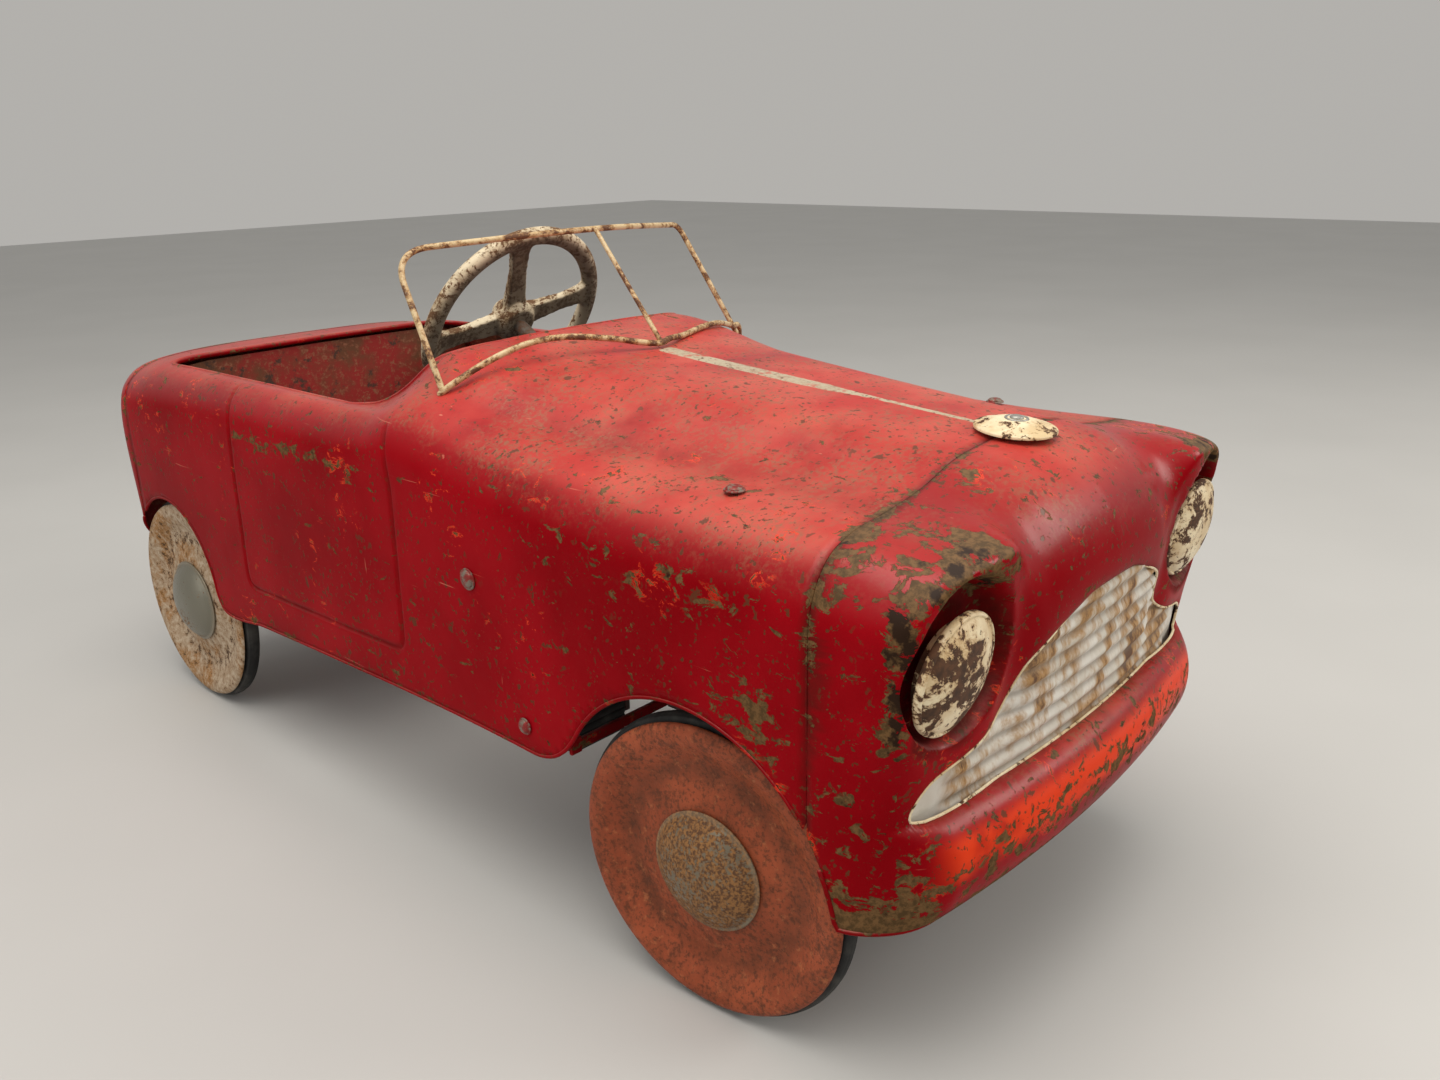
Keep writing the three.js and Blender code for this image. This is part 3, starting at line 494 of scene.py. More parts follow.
def cap_place(seam, station_at, lower_z):
    """place(u, v) for a cap from the seam section, u = 0, to the line of its lower edge, u = 1."""

    def place(u, v):
        line = shell_place(np.full(len(v), float(seam)), v)
        t = 1 - np.cos(np.clip(u, 0, 1) * math.pi / 2)
        x = line[:, 0] + (LOWER_HALF_WIDTH * v - line[:, 0]) * t
        z = line[:, 2] + (lower_z - line[:, 2]) * t
        station = station_at(x, z, seam_height(seam, x))
        return np.stack([x, AXLE_Y + np.where(u <= 0, seam, station), z], 1)

    return place


# ---------- outlines ----------
# Half the cockpit's edge, as [x, station], and half the grille window's, as [x, z].
COCKPIT_HALF = np.array([
    [0, 294], [80, 296], [112, 302], [130, 316], [143, 334], [154, 352], [161, 378], [161, 690],
    [158, 700], [148, 706], [0, 706],
], float)
COCKPIT = np.vstack([COCKPIT_HALF, COCKPIT_HALF[-2:0:-1] * [-1, 1]])
GRILLE_HALF = np.array([
    [0, 275], [26, 274], [40, 270], [66, 260], [84, 249], [93, 236], [100, 225], [114, 216],
    [136, 209], [157, 204], [166, 198], [171, 190], [171.5, 184], [167, 181], [100, 181], [0, 181],
], float)
GRILLE_WINDOW = np.vstack([GRILLE_HALF, GRILLE_HALF[-2::-1] * [-1, 1]])
GRILLE_WINDOW = along(GRILLE_WINDOW, 150)[:-1]


def in_cockpit(p):
    """Positive inside the cockpit's edge; the sides below it are left whole."""
    flat = polygon_distance(np.stack([p[:, 0], p[:, 1] - AXLE_Y], 1), COCKPIT)
    return np.where(p[:, 2] > 290, flat, -50)


def in_window(p):
    """Positive inside the grille window, on the front face only."""
    flat = polygon_distance(p[:, [0, 2]], GRILLE_WINDOW)
    return np.where(p[:, 1] < AXLE_Y - 110, flat, -50)


def in_arch(arch, fillet=0):
    """A wheel arch, whose corner with the sill can be rounded."""
    station, z, radius = arch

    def hole(p):
        s = p[:, 1] - AXLE_Y
        circle = radius - np.hypot(s - station, p[:, 2] - z)
        if not fillet:
            return circle
        below = hermite(SILL[:, 0], SILL[:, 1:], s)[:, 0] - p[:, 2] - 0.3
        blend = np.maximum(fillet - np.abs(circle - below), 0)
        return np.maximum(circle, below) + blend**2 / (4 * fillet)

    return hole


# ---------- materials ----------
class Shader:
    """A material built from short calls that give back sockets, over the colour it has so far."""

    def __init__(self, name):
        self.material = bpy.data.materials.new(name)
        self.material.use_nodes = True
        self.tree = self.material.node_tree
        self.tree.nodes.clear()
        self.where = self.node("ShaderNodeTexCoord").outputs["Object"]

    def node(self, kind, **settings):
        n = self.tree.nodes.new(kind)
        for key, value in settings.items():
            setattr(n, key, value)
        return n

    def put(self, socket, value):
        if isinstance(value, bpy.types.NodeSocket):
            self.tree.links.new(value, socket)
        elif isinstance(value, (tuple, list)) and len(value) == 3 and socket.type == "RGBA":
            socket.default_value = (*value, 1)
        else:
            socket.default_value = value

    def math(self, operation, a, b):
        n = self.node("ShaderNodeMath", operation=operation)
        self.put(n.inputs[0], a)
        self.put(n.inputs[1], b)
        return n.outputs[0]

    def plus(self, a, b):
        return self.math("ADD", a, b)

    def times(self, a, b):
        return self.math("MULTIPLY", a, b)

    def most(self, a, b):
        return self.math("MAXIMUM", a, b)

    def stretched(self, factors):
        n = self.node("ShaderNodeVectorMath", operation="MULTIPLY")
        self.put(n.inputs[0], self.where)
        n.inputs[1].default_value = factors
        return n.outputs[0]

    def noise(self, scale, detail=5, roughness=0.6, stretch=None, distortion=0.0):
        n = self.node("ShaderNodeTexNoise")
        self.put(n.inputs["Vector"], self.stretched(stretch) if stretch else self.where)
        n.inputs["Scale"].default_value = scale
        n.inputs["Detail"].default_value = detail
        n.inputs["Roughness"].default_value = roughness
        n.inputs["Distortion"].default_value = distortion
        return n.outputs["Fac"]

    def band(self, value, low, high):
        """0 where value is below low, 1 where it is above high, and smooth between."""
        n = self.node("ShaderNodeMapRange", interpolation_type="SMOOTHSTEP")
        self.put(n.inputs["Value"], value)
        n.inputs["From Min"].default_value = low
        n.inputs["From Max"].default_value = high
        return n.outputs["Result"]

    def patches(self, low, high, *noise):
        """Soft-edged patches, where noise goes from low to high."""
        return self.band(self.noise(*noise), low, high)

    def mix(self, fac, a, b):
        """A colour between a and b."""
        n = self.node("ShaderNodeMix", data_type="RGBA")
        self.put(n.inputs[0], fac)
        self.put(n.inputs[6], a)
        self.put(n.inputs[7], b)
        return n.outputs[2]

    def blend(self, fac, a, b):
        """A number between a and b."""
        n = self.node("ShaderNodeMix", data_type="FLOAT")
        self.put(n.inputs[0], fac)
        self.put(n.inputs[2], a)
        self.put(n.inputs[3], b)
        return n.outputs[0]

    def painted(self, name):
        return self.node("ShaderNodeAttribute", attribute_name=name).outputs["Fac"]

    def up(self):
        """How far the surface faces up, from 0 on a wall to 1 on a flat top."""
        n = self.node("ShaderNodeSeparateXYZ")
        self.put(n.inputs[0], self.node("ShaderNodeTexCoord").outputs["Normal"])
        return n.outputs["Z"]

    def coat(self, fac, colour):
        """Another colour over what the material has so far, where fac is 1."""
        self.colour = self.mix(fac, self.colour, colour)

    def done(self, roughness, metallic=0.0, height=None, depth=0.4, specular=0.5):
        """Finishes the material; depth is how deep the bump goes, in millimetres."""
        surface = self.node("ShaderNodeBsdfPrincipled")
        self.put(surface.inputs["Base Color"], self.colour)
        self.put(surface.inputs["Roughness"], roughness)
        self.put(surface.inputs["Metallic"], metallic)
        self.put(surface.inputs["Specular IOR Level"], specular)
        if height is not None:
            n = self.node("ShaderNodeBump")
            n.inputs["Strength"].default_value = 1.0
            n.inputs["Distance"].default_value = depth * MM
            self.put(n.inputs["Height"], height)
            self.put(surface.inputs["Normal"], n.outputs[0])
        out = self.node("ShaderNodeOutputMaterial")
        self.put(out.inputs["Surface"], surface.outputs[0])
        return self.material


def red_paint(name="worn red paint", stripe=False):
    """Crimson enamel, bleached paler on top, chipped to olive-brown primer where the mesh says it is
    worn. The paler top is partly a painted highlight, and the grime mask also carries painted shade.
    """
    m = Shader(name)
    wear = m.painted("wear")
    broad = m.noise(9, 3, 0.55)
    fine = m.noise(160, 4, 0.6)
    side = m.mix(m.band(broad, 0.32, 0.70), (0.235, 0.001, 0.004), (0.335, 0.003, 0.008))
    # Paler colour on surfaces that face up: partly sun-bleached paint, partly a painted highlight of the
    # light from above.
    faded = m.mix(m.patches(0.36, 0.66, 13, 4, 0.6), (0.46, 0.029, 0.022), (0.55, 0.078, 0.054))
    fade = m.times(m.band(m.up(), 0.50, 0.97), m.patches(0.15, 0.52, 14, 4, 0.6))
    fade = m.times(fade, m.painted("fade"))
    m.colour = m.mix(fade, side, faded)
    fresh = m.times(m.painted("fresh"), m.patches(0.25, 0.5, 19, 4, 0.6))
    m.coat(fresh, (0.78, 0.055, 0.012))
    if stripe:
        ragged = m.times(m.math("SUBTRACT", fine, 0.5), 0.5)
        inside = m.band(m.plus(m.painted("stripe"), ragged), 0.4, 0.6)
        inside = m.times(inside, m.patches(0.32, 0.44, 55, 6, 0.7))
        m.coat(inside, (0.47, 0.40, 0.28))
    # Grime on seams and edges; the same mask also paints shade into the bonnet valley, the lamp-hood
    # bowls and the door groove.
    dirt = m.times(m.painted("dirt"), m.patches(0.25, 0.62, 38, 6, 0.7))
    m.coat(m.times(dirt, 0.85), (0.040, 0.012, 0.008))
    dust = m.times(m.patches(0.42, 0.66, 300, 4, 0.75), m.patches(0.36, 0.62, 27, 4, 0.6))
    dust = m.times(dust, m.blend(m.painted("fade"), 0.1, 0.85))
    m.coat(m.times(dust, m.band(m.up(), 0.2, 0.9)), (0.27, 0.115, 0.062))
    dots = m.patches(0.645, 0.685, 110, 3, 0.55)
    specks = m.most(m.patches(0.625, 0.68, 260, 2, 0.5), dots)
    specks = m.times(specks, m.patches(0.28, 0.50, 17, 3, 0.5))
    m.coat(m.times(specks, 0.85), (0.10, 0.040, 0.018))
    scratches = m.most(
        m.patches(0.73, 0.75, 40, 3, 0.5, (1, 0.25, 9)),
        m.patches(0.74, 0.76, 38, 3, 0.5, (8, 2.2, 0.35)),
    )
    scratches = m.times(scratches, m.patches(0.42, 0.56, 11, 2, 0.5))
    m.coat(m.times(scratches, 0.7), (0.60, 0.17, 0.11))
    reach = m.plus(m.noise(92, 7, 0.68, (1, 0.66, 1.2), 0.5), m.times(wear, 0.26))
    halo = m.times(m.band(reach, 0.655, 0.695), m.patches(0.56, 0.64, 15, 2, 0.5))
    chips = m.band(reach, 0.700, 0.715)
    primer = m.patches(0.38, 0.62, 240, 5, 0.7)
    primer = m.mix(primer, (0.085, 0.050, 0.022), (0.175, 0.095, 0.040))
    deep = m.plus(m.noise(90, 4, 0.6), m.times(m.painted("dark"), 0.35))
    primer = m.mix(m.band(deep, 0.60, 0.72), primer, (0.030, 0.016, 0.010))
    m.coat(halo, (0.72, 0.050, 0.018))
    m.coat(chips, primer)
    rough = m.blend(fade, m.blend(broad, 0.24, 0.36), 0.42)
    rough = m.blend(m.most(chips, m.times(dirt, 0.8)), rough, 0.8)
    height = m.times(m.plus(chips, m.times(specks, 0.4)), -0.35)
    height = m.plus(height, m.times(fine, 0.10))
    height = m.plus(height, m.times(m.noise(24, 2, 0.5), 1.1))
    shine = m.blend(m.band(m.up(), 0.15, 0.75), 0.02, 0.36)
    return m.done(rough, height=height, depth=0.5, specular=shine)


def inside_paint():
    m = Shader("inside of the body")
    broad = m.noise(16, 6, 0.65)
    fine = m.noise(220, 5, 0.7)
    m.colour = m.mix(m.band(broad, 0.40, 0.60), (0.125, 0.044, 0.015), (0.27, 0.012, 0.009))
    m.coat(m.band(fine, 0.50, 0.68), (0.26, 0.10, 0.05))
    m.coat(m.patches(0.56, 0.66, 60, 5, 0.7), (0.05, 0.025, 0.015))
    return m.done(0.75, height=fine, depth=0.3)


def flaked_cream(name, amount, scale=60):
    """Old cream enamel flaked to dark rust; amount runs from 0, sound, to 1, mostly gone."""
    m = Shader(name)
    flakes = m.noise(scale, 8, 0.72, None, 0.3)
    small = m.noise(scale * 5, 5, 0.7)
    base = m.mix(m.patches(0.35, 0.65, 34, 4, 0.6), (0.86, 0.75, 0.52), (0.66, 0.50, 0.28))
    low = 0.70 - 0.22 * amount
    halo = m.band(m.plus(flakes, m.times(small, 0.06)), low - 0.02, low + 0.05)
    m.colour = m.mix(m.times(halo, 0.7), base, (0.42, 0.22, 0.07))
    gone = m.band(m.plus(flakes, m.times(small, 0.06)), low + 0.035, low + 0.05)
    gone = m.most(gone, m.band(small, 0.66 - 0.06 * amount, 0.69 - 0.06 * amount))
    rust = m.mix(m.band(small, 0.35, 0.65), (0.045, 0.020, 0.009), (0.11, 0.045, 0.018))
    m.coat(gone, rust)
    height = m.plus(m.times(gone, -0.6), m.times(small, 0.3))
    return m.done(m.blend(gone, 0.42, 0.85), height=height, depth=0.35)


def rod_paint():
    m = Shader("rusty cream rod")
    patches = m.noise(62, 7, 0.78, None, 0.3)
    fine = m.noise(700, 4, 0.7)
    m.colour = m.mix(m.band(patches, 0.42, 0.56), (0.62, 0.48, 0.27), (0.38, 0.20, 0.065))
    mottled = m.plus(patches, m.times(fine, 0.30))
    m.coat(m.band(mottled, 0.655, 0.72), (0.11, 0.042, 0.016))
    m.coat(m.band(fine, 0.62, 0.70), (0.72, 0.60, 0.40))
    return m.done(m.blend(m.band(patches, 0.45, 0.6), 0.34, 0.72), height=fine, depth=0.2)


def bone_plastic():
    m = Shader("steering wheel enamel")
    patches = m.noise(48, 7, 0.7, None, 0.4)
    fine = m.noise(260, 5, 0.72)
    m.colour = m.mix(m.band(patches, 0.40, 0.60), (0.70, 0.60, 0.42), (0.34, 0.24, 0.13))
    spots = m.band(m.plus(fine, m.times(patches, 0.75)), 0.88, 0.93)
    m.coat(spots, (0.13, 0.060, 0.022))
    # Surfaces that face down are painted darker: painted shade.
    underside_shade = m.band(m.up(), 0.15, -0.6)
    m.coat(m.times(underside_shade, 0.85), (0.060, 0.045, 0.030))
    return m.done(m.blend(spots, 0.5, 0.82), height=fine, depth=0.3)


def grille_paint():
    m = Shader("grille enamel")
    streaks = m.noise(34, 6, 0.68, (1, 1, 0.4), 0.5)
    fine = m.noise(230, 5, 0.7)
    m.colour = m.mix(m.patches(0.35, 0.65, 20, 4, 0.6), (0.74, 0.71, 0.65), (0.58, 0.54, 0.46))
    amount = m.times(m.band(streaks, 0.41, 0.58), m.painted("rust"))
    m.coat(m.times(amount, 0.95), (0.37, 0.190, 0.05))
    deep = m.plus(streaks, m.times(fine, 0.22))
    deep = m.times(m.band(deep, 0.66, 0.75), m.painted("rust"))
    m.coat(deep, (0.12, 0.055, 0.025))
    # The corrugations' valleys are painted darker: painted shade between the ribs.
    m.coat(m.times(m.painted("valley"), 0.55), (0.20, 0.155, 0.12))
    return m.done(m.blend(amount, 0.4, 0.8), height=fine, depth=0.3)


def oxide_wheel():
    m = Shader("red oxide wheel")
    broad = m.noise(20, 6, 0.62)
    middle = m.noise(70, 7, 0.75)
    fine = m.noise(420, 4, 0.7)
    # The ring mask darkens the disc's pressed valley with painted shade, broken up by mottling, and
    # darkens a band just outside the hubcap.
    ring = m.painted("ring")
    m.colour = m.mix(m.band(broad, 0.36, 0.64), (0.38, 0.082, 0.030), (0.27, 0.055, 0.020))
    m.coat(m.times(m.band(middle, 0.42, 0.66), 0.75), (0.195, 0.048, 0.018))
    ring = m.times(ring, m.patches(0.20, 0.75, 30, 5, 0.7))
    m.coat(ring, (0.135, 0.036, 0.014))
    speckle = m.plus(m.noise(330, 5, 0.75), m.times(middle, 0.35))
    m.coat(m.times(m.band(speckle, 0.66, 0.78), 0.7), (0.085, 0.027, 0.011))
    pale = m.times(m.patches(0.56, 0.70, 150, 5, 0.7), 0.5)
    m.coat(pale, (0.46, 0.155, 0.06))
    height = m.plus(fine, m.times(middle, 0.8))
    return m.done(m.blend(broad, 0.42, 0.7), height=height, depth=0.35, specular=0.25)


def rusted_wheel():
    m = Shader("rusted cream wheel")
    broad = m.noise(17, 6, 0.70, None, 0.4)
    middle = m.noise(150, 7, 0.78, None, 0.3)
    fine = m.noise(420, 4, 0.7)
    m.colour = m.mix(m.band(middle, 0.36, 0.62), (0.52, 0.42, 0.31), (0.30, 0.19, 0.105))
    ochre = m.times(m.band(broad, 0.46, 0.60), m.band(middle, 0.30, 0.55))
    m.coat(m.times(ochre, 0.85), (0.32, 0.140, 0.028))
    # The ring mask pulls the dark mottling into the disc's valley, partly as painted shade.
    dark = m.plus(middle, m.times(m.plus(broad, m.times(m.painted("ring"), 0.3)), 0.22))
    m.coat(m.band(dark, 0.68, 0.74), (0.080, 0.040, 0.018))
    m.coat(m.times(m.band(fine, 0.60, 0.70), 0.6), (0.62, 0.53, 0.41))
    return m.done(0.78, height=m.plus(middle, fine), depth=0.4, specular=0.3)


def hubcap_metal(name, base, rust_level):
    m = Shader(name)
    spots = m.noise(300, 6, 0.74)
    broad = m.noise(26, 3, 0.5)
    amount = m.plus(spots, m.times(m.math("SUBTRACT", broad, 0.5), 0.55))
    rusted = m.band(amount, rust_level, rust_level + 0.09)
    rust = m.mix(m.patches(0.4, 0.6, 500, 3, 0.6), (0.10, 0.042, 0.015), (0.29, 0.135, 0.040))
    m.colour = m.mix(rusted, base, rust)
    # A paler edge round the hubcap's rim: a painted highlight.
    rim = m.times(m.painted("rim"), m.band(spots, 0.35, 0.5))
    m.coat(m.times(rim, 0.3), (0.34, 0.26, 0.17))
    rough = m.blend(rusted, 0.34, 0.75)
    return m.done(rough, m.blend(rusted, 0.55, 0.1), height=spots, depth=0.3)


def rubber():
    m = Shader("old rubber")
    broad = m.noise(30, 5, 0.6)
    m.colour = m.mix(m.band(broad, 0.45, 0.7), (0.012, 0.012, 0.012), (0.055, 0.052, 0.047))
    rough = m.blend(broad, 0.6, 0.85)
    return m.done(rough, height=m.noise(400, 3, 0.6), depth=0.2, specular=0.35)


def chassis_paint():
    m = Shader("chassis paint")
    broad = m.noise(30, 6, 0.65)
    m.colour = m.mix(m.band(broad, 0.42, 0.62), (0.085, 0.010, 0.012), (0.045, 0.022, 0.016))
    m.coat(m.patches(0.60, 0.70, 120, 6, 0.7), (0.20, 0.085, 0.035))
    return m.done(0.62, height=m.noise(260, 4, 0.6), depth=0.25)


def old_steel():
    m = Shader("old steel")
    broad = m.noise(70, 6, 0.68)
    fine = m.noise(380, 4, 0.7)
    rusted = m.band(broad, 0.42, 0.6)
    m.colour = m.mix(rusted, (0.19, 0.175, 0.155), (0.14, 0.062, 0.028))
    m.coat(m.band(fine, 0.60, 0.70), (0.30, 0.16, 0.07))
    rough = m.blend(rusted, 0.42, 0.8)
    return m.done(rough, m.blend(rusted, 0.75, 0.1), height=fine, depth=0.25)


def old_rivet():
    m = Shader("painted rivet")
    broad = m.noise(170, 5, 0.7)
    m.colour = m.mix(m.band(broad, 0.44, 0.56), (0.20, 0.165, 0.13), (0.24, 0.012, 0.010))
    m.coat(m.patches(0.58, 0.68, 420, 3, 0.6), (0.09, 0.045, 0.025))
    return m.done(0.5, metallic=0.3, height=broad, depth=0.25)


RED = red_paint()
RED_STRIPED = red_paint("worn red paint with stripe", stripe=True)
INSIDE = inside_paint()
LAMP_NEAR = flaked_cream("flaked cream lamp", 0.9, 42)
LAMP_FAR = flaked_cream("spotted cream lamp", 0.78, 80)
BADGE_CREAM = flaked_cream("spotted cream badge", 0.62, 75)
ROD = rod_paint()
BONE = bone_plastic()
GRILLE = grille_paint()
OXIDE = oxide_wheel()
RUSTED = rusted_wheel()
CAP_RUSTED = hubcap_metal("rust-speckled nickel", (0.175, 0.15, 0.105), 0.385)
CAP_DULL = hubcap_metal("dull grey-green steel", (0.20, 0.19, 0.15), 0.60)
DULL_STEEL = hubcap_metal("dull rivet steel", (0.36, 0.35, 0.32), 0.62)
RIVET = old_rivet()
RUBBER = rubber()
CHASSIS = chassis_paint()
STEEL = old_steel()


# ---------- body pressings ----------
def door_line(side):
    """The pressed door outline on one side, as closely spaced points on the body."""
    outline = rounded([
        (292, 0, 331, 0), (286, 0, 290, 60), (291, 0, 163.5, 13),
        (537, 0, 153.5, 14), (529, 0, 300, 60), (533, 0, 327, 0),
    ], 8)[:, [0, 2]]
    s, z = along(outline, 150).T
    v = np.array([side * shell_v(a, b) for a, b in zip(s, z)])
    return shell_place(s, v)


def paint_masks(obj, **masks):
    """Writes what the red paint reads at each point. A mask is a number or one for each point."""
    for name in ("wear", "fade", "fresh", "dirt", "dark", "stripe"):
        attribute(obj, name, np.full(len(obj.data.vertices), masks.get(name, 0.0), np.float32))


def pressing(name, node, vertices, faces, paint, inside, **masks):
    """A painted sheet of the body, with other paint on the side towards a point inside it."""
    obj = make(name, vertices, faces, paint, "body", "red_paint", [node], 60)
    obj.data.materials.append(INSIDE)
    face_out(obj, inside)
    paint_masks(obj, **masks)
    solidify(obj, SHEET).material_offset = 1


def spacing(low, high, pitch, fine_spans, fine_pitch):
    """Values from low to high, closer together inside each fine span."""
    out = [low]
    while out[-1] < high - 1e-6:
        x = out[-1]
        near = any(a - fine_pitch <= x <= b for a, b in fine_spans)
        ahead = min([a for a, b in fine_spans if a > x], default=high)
        gap = fine_pitch if near else min(pitch, max(fine_pitch, ahead - x))
        out.append(min(high, x + gap))
    return np.array(out)


def rim_rolls(name, vertices, faces, pick, radius, inward):
    """A rolled edge along each open edge of a sheet that pick accepts, moved inward(points)."""
    parts = []
    for loop in edge_loops(faces):
        points = vertices[loop]
        accepted = pick(points)
        if accepted.all():
            pieces = [(points, True)]
        else:
            start = int(np.argmin(accepted))
            points, accepted = np.roll(points, -start, 0), np.roll(accepted, -start)
            marks = np.flatnonzero(np.diff(np.concatenate([[0], accepted.astype(int), [0]])))
            pieces = [(points[a:b], False) for a, b in zip(marks[::2], marks[1::2]) if b - a > 3]
        for line, closed in pieces:
            count = max(8, int(np.linalg.norm(np.diff(line, axis=0), axis=1).sum() / 5))
            ring = np.vstack([line, line[:1]]) if closed else line
            even = along(ring[::2] if len(ring) > 40 else ring, count + 1)
            even = even[:-1] if closed else even
            parts.append(tube(even + inward(even), radius, closed, 10))
    obj = make(name, *together(*parts), RED, "body", "red_paint")
    paint_masks(obj, wear=0.42, fade=0.8, dirt=0.25)


def shell_wear(p, s):
    """Where the body's paint is worn through, bleached paler on top (partly a painted highlight) or
    grimy, with painted shade in its creases.
    """
    x, z = np.abs(p[:, 0]), p[:, 2]
    sill = hermite(SILL[:, 0], SILL[:, 1:], s)[:, 0]
    near = 0.45 + 0.55 * (p[:, 0] < 0)
    wear = 0.18 + 0.10 * (z < 330) * (x > 100)
    wear += 0.62 * bump(z, 303 - 0.02 * s, 6) * step(300, 340, s) * step(560, 500, s) * near
    wear += 0.34 * bump(z, 285, 18) * bump(s, 20, 90) * near + 0.18 * bump(z, 322, 10) * bump(s, 70, 50)
    wear += 0.55 * np.exp(-np.maximum(s - NOSE_SEAM, 0) / 4) * step(235, 300, z)
    wear += 0.40 * np.exp(-(z - sill) / 5) + 0.04 * (x < 165) * (s < 300) * (z > 320)
    wear += 0.60 * bump(z, 225, 24) * bump(s, -48, 24) * near
    wear += 0.30 * step(250, 310, s) * step(345, 300, s) * (x < 165)
    arch = np.hypot(s - FRONT_ARCH[0], z - FRONT_ARCH[1]) - FRONT_ARCH[2]
    wear += 0.35 * np.exp(-np.maximum(arch, 0) / 5)
    fade = step(330, 250, s) + 0.55 * step(250, 330, s)
    dirt = 0.9 * np.exp(-np.abs(s - NOSE_SEAM) / 1.8)
    # A darker line along the valley between bonnet and wing: painted shade of the fold.
    dirt += 0.5 * bump(z, 336, 7) * bump(x, 128, 18) * (s < 250)
    dirt += 0.6 * np.exp(-np.abs(s - TAIL_SEAM) / 2.5) + 0.3 * np.exp(-(z - sill) / 9)
    return wear, fade, dirt


def body_shell():
    """Bonnet, wings, sides and shoulders in one, with a pressed door line and a bonnet stripe."""
    s_rows = spacing(NOSE_SEAM + 0.5, TAIL_SEAM - 0.5, 7, [(283, 296), (515, 541)], 1.5)
    v_side = spacing(0.0, 1.0, 0.0135, [(0.895, 0.945)], 0.004)
    v_rows = np.concatenate([-v_side[:0:-1], v_side])
    holes = [in_cockpit, in_arch(FRONT_ARCH, 34), in_arch(REAR_ARCH, 18)]
    vertices, faces, (s, v) = cut_grid(s_rows, v_rows, shell_place, holes)
    normals = normals_of(shell_place, s, v, (0, AXLE_Y + 300, 200))
    depth = np.zeros(len(s))
    # The door groove is painted darker as well as pressed in: painted shade in the groove.
    mark = np.zeros(len(s))
    for side in (-1, 1):
        near = np.flatnonzero((np.sign(v) == side) & (s > 270) & (s < 555) & (np.abs(v) > 0.4))
        d = line_distance(vertices[near], door_line(side))
        depth[near] -= 1.5 * np.exp(-((d / 1.7) ** 2))
        mark[near] += np.exp(-((d / 2.4) ** 2))
    vertices = vertices + normals * depth[:, None]
    wear, fade, dirt = shell_wear(vertices, s)
    half = 3.2 + 6.0 * step(-60, 190, s)
    stripe = step(1.5, -1.5, np.abs(vertices[:, 0]) - half) * (s < 206) * (s > -84)
    pressing(
        "pressed body", "body_shell", vertices, faces, RED_STRIPED, (0, AXLE_Y + 300, 150),
        wear=wear, fade=fade, dirt=dirt + 0.55 * mark, stripe=stripe,
    )

    def at_cockpit(p):
        return (p[:, 2] > 300) & (np.abs(p[:, 1] - AXLE_Y - 500) < 240)

    def at_sill(p):
        between = (p[:, 1] > AXLE_Y + NOSE_SEAM + 2) & (p[:, 1] < AXLE_Y + TAIL_SEAM - 2)
        return (p[:, 2] < 240) & between

    def to_centre(p):
        return np.sign(p[:, :1]) * [-0.9, 0, 0]

    rim_rolls("cockpit rolled edge", vertices, faces, at_cockpit, 2.6, lambda p: [0, 0, -2.0])
    rim_rolls("body lower folded edge", vertices, faces, at_sill, 1.5, to_centre)


def nose_panel():
    """The front pressing, with its brow, lamp bowls, grille window and bumper roll."""
    place = cap_place(NOSE_SEAM, nose_station, NOSE_BOTTOM)
    u_rows = np.concatenate([np.linspace(0, 0.5, 52), np.linspace(0.5, 1, 96)[1:]])
    v_rows = np.linspace(-1, 1, 261)
    vertices, faces, _ = cut_grid(u_rows, v_rows, place, [in_window, in_arch(FRONT_ARCH)])
    d = -polygon_distance(vertices[:, [0, 2]], GRILLE_WINDOW)
    front = vertices[:, 1] < AXLE_Y - 118
    vertices[:, 1] += 1.2 * np.exp(-np.maximum(d, 0) / 3.0) * front
    x, z = np.abs(vertices[:, 0]), vertices[:, 2]
    s = vertices[:, 1] - AXLE_Y
    seam = np.abs(s - NOSE_SEAM)
    lamp = np.hypot((x - LAMP["x"]), z - LAMP["z"])
    outer_edge = step(181, 189, x) * step(-126, -138, s) * step(212, 232, z) * step(322, 305, z)
    brow = bump(s, -150, 8) * step(296, 306, z) * step(108, 130, x)
    wear = 0.34 + 0.50 * np.exp(-seam / 4) * step(225, 300, z) + 0.62 * outer_edge
    wear += 0.55 * brow * step(182, 168, x) + 0.75 * step(150, 178, x) * step(150, 128, z)
    wear += 0.5 * step(131, 120, z) + 0.30 * step(285, 315, z) * step(100, 130, x)
    wear += 0.36 * bump(z, 150, 22) * (s < -135)
    wear += 0.30 * bump(x, 186, 14) * step(-150, -100, s) * step(215, 190, z)
    fade = step(110, 20, x) * 0.75 + 0.25
    fresh = step(176, 166, z) * step(140, 152, z) * step(-135, -150, s) * step(172, 145, x)
    # Painted shade inside each lamp bowl, below the brow.
    bowl_shade = step(50, 44, lamp) * step(184, 178, x) * (s < -108)
    dirt = 0.9 * np.exp(-seam / 1.8) + 0.8 * bowl_shade
    dirt += 0.8 * step(130, 118, z) * step(-125, -140, s)
    dirt += 0.4 * np.exp(-np.maximum(d, 0) / 3) * front
    pressing(
        "nose pressing", "nose_panel", vertices, faces, RED, (0, AXLE_Y - 60, 240),
        wear=wear, fade=fade, fresh=0.9 * fresh, dirt=dirt, dark=0.6 * outer_edge + 0.35 * brow,
    )

    def at_bumper(p):
        return (p[:, 2] < 150) & (p[:, 1] < AXLE_Y + NOSE_SEAM - 4)

    rim_rolls("bumper lower folded edge", vertices, faces, at_bumper, 1.6, lambda p: [0, 1.2, 0])


